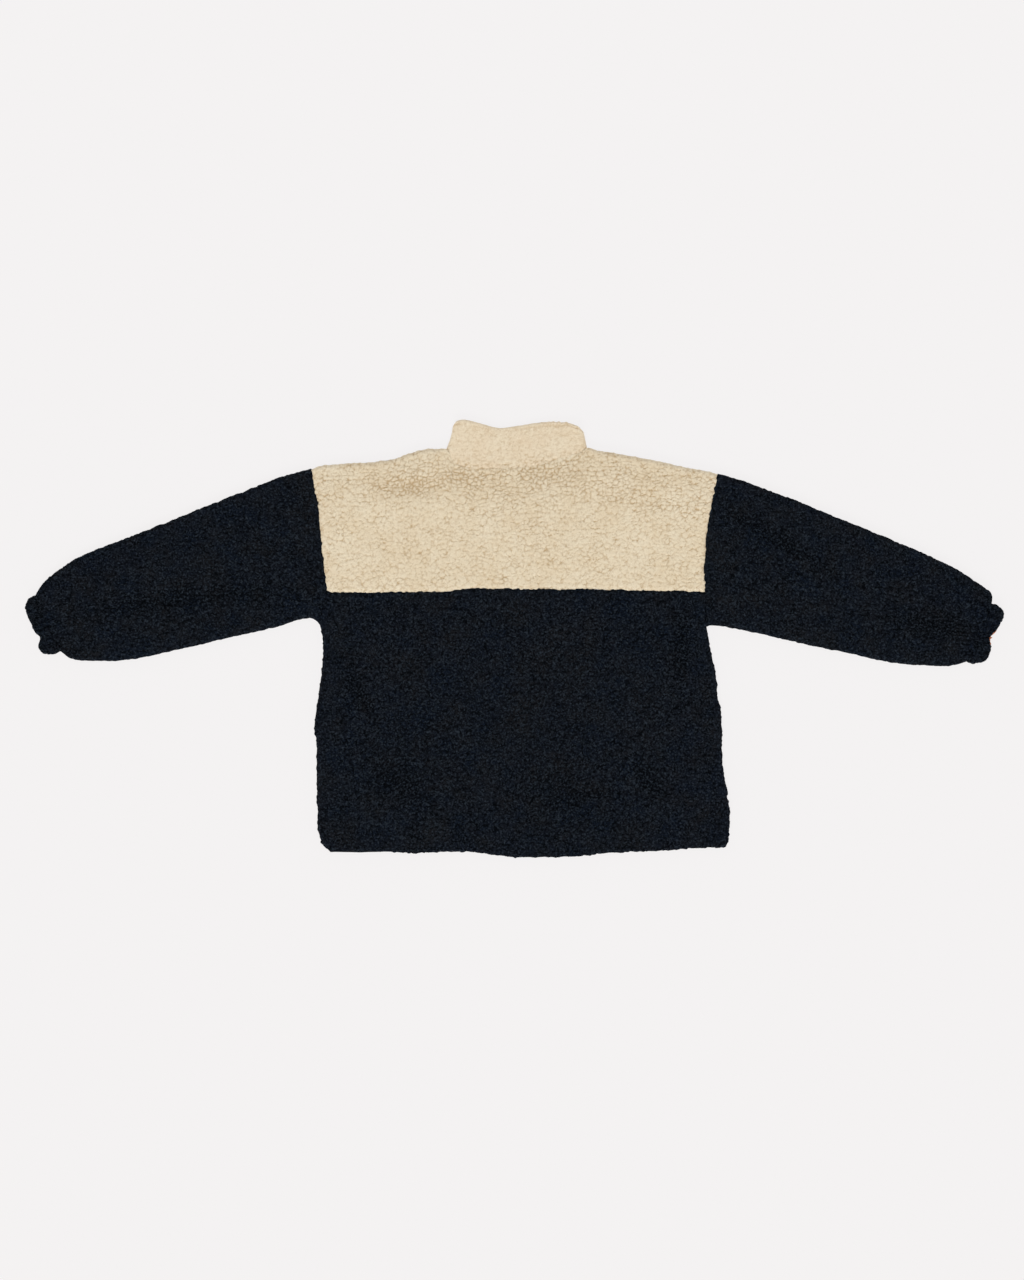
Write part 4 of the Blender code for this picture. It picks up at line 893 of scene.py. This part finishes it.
def sleeve(side, seed):
    """One sleeve as a flattened tube from the armhole to its gathers."""
    lines = SLEEVES[side]
    sign, rows, line = SIDES[side][:3]

    def armhole(share):
        y = between(lines["low"][0][1], lines["high"][0][1], np.asarray(share, float))
        plain = smooth(rows, y)
        return np.stack([between(plain, line(y), fading(share, 48.0)) + sign * ARMHOLE_GAP, y], -1)

    def heights(points, inner_points, distance, along, across, upper):
        x, y = points[..., 0], points[..., 1]
        to_cuff = (1.0 - along[:, None]) * SLEEVE_LENGTH
        sewn = dipped(along * SLEEVE_LENGTH)[:, None]
        full = rolled(distance) * (distance > 0.0)
        pinch = mixed(eased(to_cuff, 14.0), 1.0, PINCH)
        loft = eased(distance, LOFT_WIDTH) * eased(to_cuff, 25.0)
        slot = slot_share(across)[None]
        half = (RISE - WALL) * slot * np.ones_like(distance)
        waves = gathers(across, seed)[None] * np.exp(-to_cuff / GATHER_REACH) * eased(distance, 8.0)
        if upper:
            raised = lift(x, y, loft) + soft_swell(x, y, seed) * loft
            raised_inside = np.maximum(lift(inner_points[..., 0], inner_points[..., 1], loft), 0.0)
            return (MIDDLE + (RISE * sewn * pinch + raised + waves) * full,
                    MIDDLE + half + raised_inside * slot)
        return MIDDLE - (RISE * sewn * pinch - np.abs(waves) * 0.5) * full, MIDDLE - half

    curves = (lumpy(lines["low"], 0.6, seed + 6), lumpy(lines["high"], 0.8, seed + 7), armhole,
              lambda share: curve(lines["gather"], share))
    over, under = shares(SLEEVE_WIDTH, 132), shares(SLEEVE_WIDTH, 48)
    from_seam = SLEEVE_WIDTH * np.concatenate([over, under[-2:0:-1]])
    tube("sleeve_", side, curves, np.linspace(0.0, 1.0, 253), over, under, heights, seed,
         calm=mixed(eased(from_seam, PRESSED_HALF), 1.0, PRESSED)[None])


sleeve("left", 400)
sleeve("right", 440)

# Cuffs: the sleeve's own end, turned back over an elastic that bunches it into ruffles.
CUFFS = {
    "left": {
        "high": ((-525.6, 46.7), (-529.4, 45.9), (-533.4, 42.6), (-535.4, 38.0)),
        "low": ((-497.9, -14.0), (-501.2, -16.4), (-508.0, -17.9), (-517.0, -16.5)),
        "gather": ((-497.9, -14.0), (-513.2, 16.1), (-525.6, 46.7)),
        "end": ((-517.0, -16.5), (-520.8, -8.4), (-519.0, -0.6), (-525.0, 7.6), (-528.3, 14.6),
                (-531.6, 21.5), (-535.2, 29.5), (-535.4, 38.0)),
    },
    "right": {
        "high": ((526.1, 38.4), (529.9, 37.6), (534.4, 34.8), (536.6, 32.4)),
        "low": ((499.3, -25.3), (504.0, -26.9), (510.5, -27.4), (519.3, -24.8)),
        "gather": ((499.3, -25.3), (514.8, 5.4), (526.1, 38.4)),
        "end": ((519.3, -24.8), (523.6, -18.0), (524.4, -9.0), (523.6, 1.6), (528.0, 5.6),
                (535.2, 15.0), (539.0, 26.5), (536.6, 32.4)),
    },
}
CUFF_SWELL = 1.03
CUFF_LENGTH = 22.0
MOUTH_GAP, MOUTH_RADIUS = 2.2, 4.5


def cuff(side, seed):
    """One cuff as a short flattened tube whose mouth rounds over."""
    lines = CUFFS[side]
    opened = (MOUTH_GAP - LAYER_GAP) / 2.0 if side == "right" else 0.0

    def heights(points, inner_points, distance, along, across, upper):
        full = rolled(distance) * (distance > 0.0)
        swell = mixed(eased(along, 0.4), CUFF_SWELL, PINCH)[:, None]
        waves = gathers(across, seed - 10)[None] * eased(distance, 8.0)
        half = ((RISE - WALL) + opened * eased(along - 0.2, 0.6)[:, None]) * slot_share(across)[None]
        if upper:
            outer_z, inner_z = MIDDLE + (RISE * swell + waves) * full, MIDDLE + half
        else:
            outer_z = MIDDLE - (np.minimum(RISE * swell, RISE) - np.abs(waves) * 0.5) * full
            inner_z = MIDDLE - half
        return drawn_in(outer_z, inner_z, rolled((1.0 - along) * CUFF_LENGTH, MOUTH_RADIUS)[:, None])

    curves = (lumpy(lines["low"], 0.9, seed + 6), lumpy(lines["high"], 0.9, seed + 7),
              lambda share: curve(lines["gather"], share), lumpy(lines["end"], 1.4, seed, axis=0))
    tube("cuff_", side, curves, shares(CUFF_LENGTH, 24, low_rim=False), shares(SLEEVE_WIDTH, 84),
         shares(SLEEVE_WIDTH, 48), heights, seed)


cuff("left", 410)
cuff("right", 450)

# Collar: a stand of doubled cream sherpa with a shorter pile, one band round the neck, folded flat
# at both sides of the neck; its top edge is rolled.
COLLAR_BASE_LEFT, COLLAR_BASE_RIGHT = -73.9, 81.4
COLLAR_HEIGHT = 45.0
COLLAR_SINK = 3.4
COLLAR_SEAM_GAP = -0.9      # the two piles meet over the seam
FRONT_COLLAR_TOP_Y, FRONT_COLLAR_FORM = 181.0, 2.2
LEAN_FORM = 1.6
ROLL_IN, ROLL_HALF = 4.2, 0.8           # the line that parts the rolled top edge from the stand
FRAYED_X, FRAYED_HALF = 44.0, 20.0
COLLAR_TOP = (
    (-66.2, 233.4), (-64.4, 236.6), (-61.2, 239.0), (-55.0, 240.5), (-38.5, 237.1), (-14.0, 231.4),
    (5.5, 233.8), (41.8, 238.7), (53.9, 238.2), (71.0, 233.2), (77.5, 227.5),
)

# Collar pile: the crevice colour is painted shade and the glint colour a painted highlight.
collar_cream = sherpa("collar_sherpa_pile", crevice=(192, 165, 128), tip=(227, 212, 186),
                      blush=(223, 204, 176), painted_glint=(233, 219, 195), specular=0.2, sheen=0.8, relief=1.4,
                      level=0.34, loops=0.5, bump=0.35, painted_glint_range=(0.56, 0.78))


def collar_front(base, side_x, lean, corner, zip_x, rows):
    """Columns of one front half, from the side to the zip: place, height, angle and sink."""
    inward = 1.0 if side_x < zip_x else -1.0
    stations = np.linspace(side_x + inward * (RISE + 1.0), zip_x, 61)
    x = stations + lean * (zip_x - stations) / (zip_x - side_x)
    seam = front_neck(stations, base, zip_x) + COLLAR_SEAM_GAP
    q = np.clip((zip_x - x) / (zip_x - side_x), 0.0, 1.0)
    top = between(FRONT_COLLAR_TOP_Y, corner[1], q ** FRONT_COLLAR_FORM)
    return np.broadcast_arrays(x, between(seam, top, rows), -math.pi / 2.0, 0.0)


def collar_fold(base, side_x, lean, corner, zip_x, rows):
    """Columns round one side fold: a half circle from the front half to the back half."""
    inward = 1.0 if side_x < zip_x else -1.0
    turns = np.linspace(-math.pi / 2.0, math.pi / 2.0, 19)[1:-1]
    x = side_x + inward * RISE + lean
    reach = side_x + inward * RISE * (1.0 - np.cos(turns))
    seam = between(front_neck(reach, base, zip_x), neck_line(reach), 0.5 + 0.5 * np.sin(turns))
    angle = turns if inward < 0.0 else math.pi - turns
    top = np.where(turns > 0.0, smooth(COLLAR_TOP, x[-1] + RISE * np.cos(angle)), corner[1])
    return np.broadcast_arrays(x, between(seam + COLLAR_SEAM_GAP, top, rows), angle, 0.0)


def collar_back(lean_left, lean_right, rows):
    """Columns of the back half, whose top edge sinks where nothing lies under it and frays on the
    right of its middle."""
    inner = np.linspace(COLLAR_BASE_LEFT + RISE + 1.0, COLLAR_BASE_RIGHT - RISE - 1.0, 139)
    part = (inner - BACK_NECK[0][0]) / (BACK_NECK[-1][0] - BACK_NECK[0][0])
    x = inner + lean_left * (1.0 - part) + lean_right * part
    seam = neck_line(inner) + COLLAR_SEAM_GAP
    sink = COLLAR_SINK * rows * (1.0 - (2.0 * part - 1.0) ** 4)
    frayed = uneven(x, 1.5, 81) * np.exp(-((x - FRAYED_X) / FRAYED_HALF) ** 4)
    return np.broadcast_arrays(x, between(seam, smooth(COLLAR_TOP, x) + frayed, rows), math.pi / 2.0, sink)


def backwards(run):
    """The columns of a run in the other order."""
    return [part[:, ::-1] for part in run]


rows = shares(COLLAR_HEIGHT, 36, low_rim=False)[:, None]
lean_left = (COLLAR_TOP[0][0] - COLLAR_BASE_LEFT) * (1.0 - (1.0 - rows) ** LEAN_FORM)
lean_right = (COLLAR_TOP[-1][0] - COLLAR_BASE_RIGHT) * rows
left_fold = (BACK_NECK[0][0], COLLAR_BASE_LEFT, lean_left, COLLAR_TOP[0], ZIP_X - SLOT_HALF, rows)
right_fold = (BACK_NECK[-1][0], COLLAR_BASE_RIGHT, lean_right, COLLAR_TOP[-1], ZIP_X + SLOT_HALF, rows)
runs = (backwards(collar_front(*left_fold)), collar_fold(*left_fold),
        collar_back(lean_left, lean_right, rows),
        backwards(collar_fold(*right_fold)), collar_front(*right_fold))
x, y, angle, sink = (np.concatenate(parts, axis=1) for parts in zip(*runs))
to_top, from_seam = (1.0 - rows) * COLLAR_HEIGHT, rows * COLLAR_HEIGHT
closing = rolled(to_top, WALL / 2.0) * mixed(eased(from_seam, 7.0), 1.0, 0.8)
radii = [RISE - WALL / 2.0 + offset * closing for offset in (WALL / 2.0, -WALL / 2.0)]
faces = [stacked(x + radius * np.cos(angle), y, MIDDLE + radius * np.sin(angle) - sink)
         for radius in radii]
rolled_edge = 0.7 * np.exp(-((to_top - ROLL_IN) / ROLL_HALF) ** 2) * mixed(eased(x - 2.0, 12.0), 1.0, 0.35)
near_seam = 1.0 - eased(from_seam, 15.0)
collar = cloth("collar_pile", faces, collar_cream, 100, calm=mixed(near_seam, 1.0, 0.75),
               crease=rolled_edge, opening=mixed(near_seam, 1.3, 0.45))
worn(collar, "collar")

# Zip tapes: woven polyester, one sewn behind each front's edge, with a cord woven into the edge that
# carries the coil.
AXIS_Y = 171.0              # of the slider's post, which the tapes part round
POST_FROM, POST_TO, POST_CLEAR = 0.6, 4.6, 0.75
TAPE_START_Y, TAPE_END_Y = -231.0, 178.0
TAPE_LOW, TAPE_HIGH, TAPE_SKIN = 3.3, 4.0, 0.15
TEETH_GAP = 0.3
CORD_AT, CORD_HALF, CORD_HEIGHT = 0.55, 0.12, 0.12      # shares of the tape's width, and millimetres
WEFT_HEIGHT, WEFT_TURNS = 0.04, 4.4

tape_finish = new_material("woven_tape", 0.8, specular=0.2)
tape_rib = pattern(tape_finish, "Wave", {"bands_direction": "DIAGONAL"}, Scale=330.0, Distortion=0.6,
                   Detail=1.0)
coloured(tape_finish, tape_rib, paint(14, 17, 22), paint(31, 35, 43))
raised_by(tape_finish, tape_rib, 0.6, 0.0002)


def closed_strip(name, upper, lower, material):
    """Closed strip between two like grids of points, the upper one facing up."""
    rows, columns = upper.shape[:2]
    above, below = np.arange(2 * rows * columns).reshape(2, rows, columns)
    groups = [grid_faces(above), grid_faces(below)[:, ::-1]]
    for rim, forward in ((np.s_[0], False), (np.s_[-1], True), (np.s_[:, 0], True), (np.s_[:, -1], False)):
        top, bottom = above[rim], below[rim]
        wall = np.stack([top[:-1], top[1:], bottom[1:], bottom[:-1]], -1)
        groups.append(wall if forward else wall[:, ::-1])
    return place_mesh(name, np.concatenate([upper.reshape(-1, 3), lower.reshape(-1, 3)]), groups, material)


for side in SIDES:
    sign = SIDES[side][0]
    outer_x, inner_x = ZIP_X + sign * (SLOT_HALF - SEAM_GAP), ZIP_X + sign * TEETH_GAP / 2.0
    tape_y = np.linspace(TAPE_START_Y, TAPE_END_Y, 331)[:, None]
    post = eased(tape_y - AXIS_Y - POST_FROM, 0.4) * eased(AXIS_Y + POST_TO - tape_y, 0.4)
    part = np.linspace(0.0, 1.0, 8)[None]
    tape_x = between(inner_x + sign * POST_CLEAR * post, outer_x, part)
    bead = (CORD_HEIGHT * np.exp(-((part - CORD_AT) / CORD_HALF) ** 2)
            + WEFT_HEIGHT * np.sin(tape_y * WEFT_TURNS))
    faces = [stacked(tape_x, tape_y, TAPE_HIGH - TAPE_SKIN + bead),
             stacked(tape_x, tape_y, TAPE_LOW + TAPE_SKIN - bead)]
    if side == "left":
        faces = backwards(faces)
    tape = closed_strip("tape_" + side, *faces, tape_finish)
    worn(tape, "zip_tape_" + side)

# Zip coil: a polyester thread wound round the inner edge of each tape, the turns of one side between
# those of the other; the slider covers it where they part.
COIL_PITCH, COIL_TURNS, COIL_STEPS = 1.27, 311, 9
COIL_START_Y = -219.5
COIL_MIDDLE_Z, COIL_MIDDLE_OUT = 3.65, 0.82
COIL_HALF_HEIGHT, COIL_HALF_WIDTH = 0.44, 1.2
THREAD_RADIUS = 0.2

coil_finish = new_material("coil_thread", 0.35, specular=0.4)
coloured(coil_finish, pattern(coil_finish, "Noise", Scale=240.0, Detail=2.0),
         paint(13, 15, 20), paint(30, 34, 42))


def swept(path, radius, sides, first_side):
    """Points of round sections carried along a path: each section stands square to the path."""
    ahead = np.gradient(path, axis=0)
    ahead /= np.linalg.norm(ahead, axis=1, keepdims=True)
    side = np.cross(ahead, first_side)
    side /= np.linalg.norm(side, axis=1, keepdims=True)
    other = np.cross(ahead, side)
    turn = np.linspace(0.0, 2.0 * math.pi, sides, endpoint=False)
    return (path[:, None] + radius * (np.cos(turn)[None, :, None] * side[:, None]
                                      + np.sin(turn)[None, :, None] * other[:, None]))


def rod_faces(sections):
    """Faces of a closed rod of rings of points, with a flat face at each end."""
    count, sides = sections.shape[:2]
    index = np.arange(count * sides).reshape(count, sides)
    around = np.concatenate([index, index[:, :1]], axis=1)
    return [grid_faces(around)[:, ::-1], index[:1], index[-1:, ::-1]]


def rod(name, sections, material):
    """Closed rod from rings of points."""
    return place_mesh(name, sections.reshape(-1, 3), rod_faces(sections), material)


def carried(piece):
    """The jacket carries the piece."""
    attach(piece, "jacket")


for side in SIDES:
    sign = SIDES[side][0]
    turn = np.arange(COIL_TURNS * COIL_STEPS + 1) / COIL_STEPS
    angle = 2.0 * math.pi * turn
    path = stacked(ZIP_X + sign * (COIL_MIDDLE_OUT + COIL_HALF_WIDTH * np.cos(angle)),
                   COIL_START_Y + COIL_PITCH * (turn + (0.5 if side == "right" else 0.0)),
                   COIL_MIDDLE_Z + COIL_HALF_HEIGHT * np.sin(angle))
    coil = swept(path, THREAD_RADIUS, 5, (0.0, 1.0, 0.0))
    carried(rod("zip_coil_" + side, coil, coil_finish))

# Zip ends: a moulded box that joins the two tapes at the hem, and a bent metal stop on each tape
# above the slider.
BOX_MIDDLE_Y = -224.6
BOX_HALVES, BOX_ROUNDING = (3.3, 4.6, 1.25), 0.3
STOP_MIDDLE_Y, STOP_OUT = 176.9, 1.1
STOP_HALVES, STOP_ROUNDING = (0.75, 0.9, 1.0), 0.35


def rounded_block(name, middle, halves, power, material):
    """Closed block with rounded edges: a ball whose directions' parts are raised to a power below 1,
    times three half sizes."""
    turn = np.linspace(0.0, 2.0 * math.pi, 48, endpoint=False)[None]
    tilt = np.linspace(-math.pi / 2.0, math.pi / 2.0, 25)[1:-1, None]
    parts = [np.cos(tilt) * np.cos(turn), np.cos(tilt) * np.sin(turn), np.sin(tilt)]
    ball = stacked(*[half * np.sign(part) * np.abs(part) ** power for half, part in zip(halves, parts)])
    return rod(name, ball + np.array(middle), material)


moulded = new_material("moulded_plastic", 0.45, specular=0.4)
moulded_grain = pattern(moulded, "Noise", Scale=900.0, Detail=3.0)
coloured(moulded, moulded_grain, paint(16, 19, 25), paint(27, 31, 39))
raised_by(moulded, moulded_grain, 0.3, 0.00005)
box = rounded_block("zip_box", (ZIP_X, BOX_MIDDLE_Y, COIL_MIDDLE_Z), BOX_HALVES, BOX_ROUNDING, moulded)
carried(box)

# Zip sewing: a row of polyester stitches through each front and its tape, sunk in the pile.
STITCH_PITCH, STITCH_LENGTH, STITCH_RADIUS = 3.2, 2.5, 0.28
STITCH_Z, STITCH_SUNK = 0.75, 1.1
STITCH_START_Y, STITCH_END_Y = -228.0, 130.0


def stitch_row(name, x, y, material):
    """Row of stitches on the underside: each is a thread that rises into the cloth at both ends with
    the fourth power of the distance from its middle."""
    part = np.linspace(-1.0, 1.0, 7)
    path = stacked(0.0, part * STITCH_LENGTH / 2.0, STITCH_SUNK * part ** 4)
    ring = swept(path, STITCH_RADIUS, 5, (1.0, 0.0, 0.0))
    starts = np.arange(len(y))[:, None, None] * (ring.shape[0] * ring.shape[1])
    groups = [(starts + group[None]).reshape(-1, group.shape[1]) for group in rod_faces(ring)]
    places = stacked(x, y, STITCH_Z)[:, None, None] + ring[None]
    return place_mesh(name, places.reshape(-1, 3), groups, material)


thread = new_material("sewing_thread", 0.5, specular=0.4)
coloured(thread, pattern(thread, "Wave", {"bands_direction": "DIAGONAL"}, Scale=900.0),
         paint(20, 24, 31), paint(40, 46, 56))
for side in SIDES:
    sign = SIDES[side][0]
    carried(stitch_row("zip_stitches_" + side, ZIP_X + sign * (SLOT_HALF + STITCHES_IN),
                       np.arange(STITCH_START_Y, STITCH_END_Y, STITCH_PITCH), thread))

# Slider and pull tab: die-cast metal with a dull plating, brushed along the zip and smudged by
# fingers; both keep their solids. The two stops are of the same metal.
metal = new_material("dull_plating", 0.35, metallic=1.0)
metal_tree = metal.node_tree
along_zip = node(metal_tree, "Mapping", {"Vector": node(metal_tree, "TexCoord").outputs["Object"],
                                         "Scale": (1.0, 0.12, 1.0)}).outputs[0]
brushed = node(metal_tree, "TexNoise", {"Vector": along_zip, "Scale": 2600.0, "Detail": 3.0}).outputs["Fac"]
coloured(metal, pattern(metal, "Noise", Scale=420.0, Detail=3.0),
         paint(118, 118, 121), paint(176, 176, 180))
metal_tree.links.new(ranged(metal_tree, brushed, 0.0, 1.0, 0.24, 0.5), finish_of(metal)["Roughness"])
raised_by(metal, brushed, 0.25, 0.00005)
for name in ("zip_slider", "zip_pull"):
    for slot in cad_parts[name].material_slots:
        slot.material = metal
for side in SIDES:
    sign = SIDES[side][0]
    carried(rounded_block("zip_stop_" + side, (ZIP_X + sign * STOP_OUT, STOP_MIDDLE_Y, COIL_MIDDLE_Z),
                          STOP_HALVES, STOP_ROUNDING, metal))

# Cuff lining: the edge of the rust coloured lining cloth, which shows as a sliver in the notch of
# the right cuff.
LINING_MOUTH = (
    # y, x of the edge in the mouth
    (-9.0, 524.6), (-6.0, 525.9), (-3.4, 525.0), (-0.6, 525.2), (0.9, 527.2), (2.2, 525.6),
    (4.6, 528.3), (7.6, 531.2), (10.4, 532.6),
)
LINING_DEPTH, LINING_HALF_WALL = 13.0, 0.15
lining_finish = new_material("rust_cloth", 0.7, specular=0.3)
coloured(lining_finish, pattern(lining_finish, "Noise", Scale=300.0, Detail=3.0),
         paint(168, 94, 58), paint(214, 140, 100))
raised_by(lining_finish, pattern(lining_finish, "Checker", Scale=2600.0), 0.4, 0.00008)
edge_y = np.linspace(LINING_MOUTH[0][0], LINING_MOUTH[-1][0], 61)[:, None]
part = np.linspace(0.0, 1.0, 25)[None]
lining_x = smooth(LINING_MOUTH, edge_y) - LINING_DEPTH * (1.0 - part)
ripple = 0.22 * np.sin(edge_y * 0.9 + 1.2 * part) * part + 0.1 * np.sin(edge_y * 2.1)
faces = [stacked(lining_x, edge_y, MIDDLE + ripple + half)
         for half in (LINING_HALF_WALL, -LINING_HALF_WALL)]
lining = closed_strip("cuff_lining_cloth", *faces, lining_finish)
worn(lining, "cuff_lining_right")
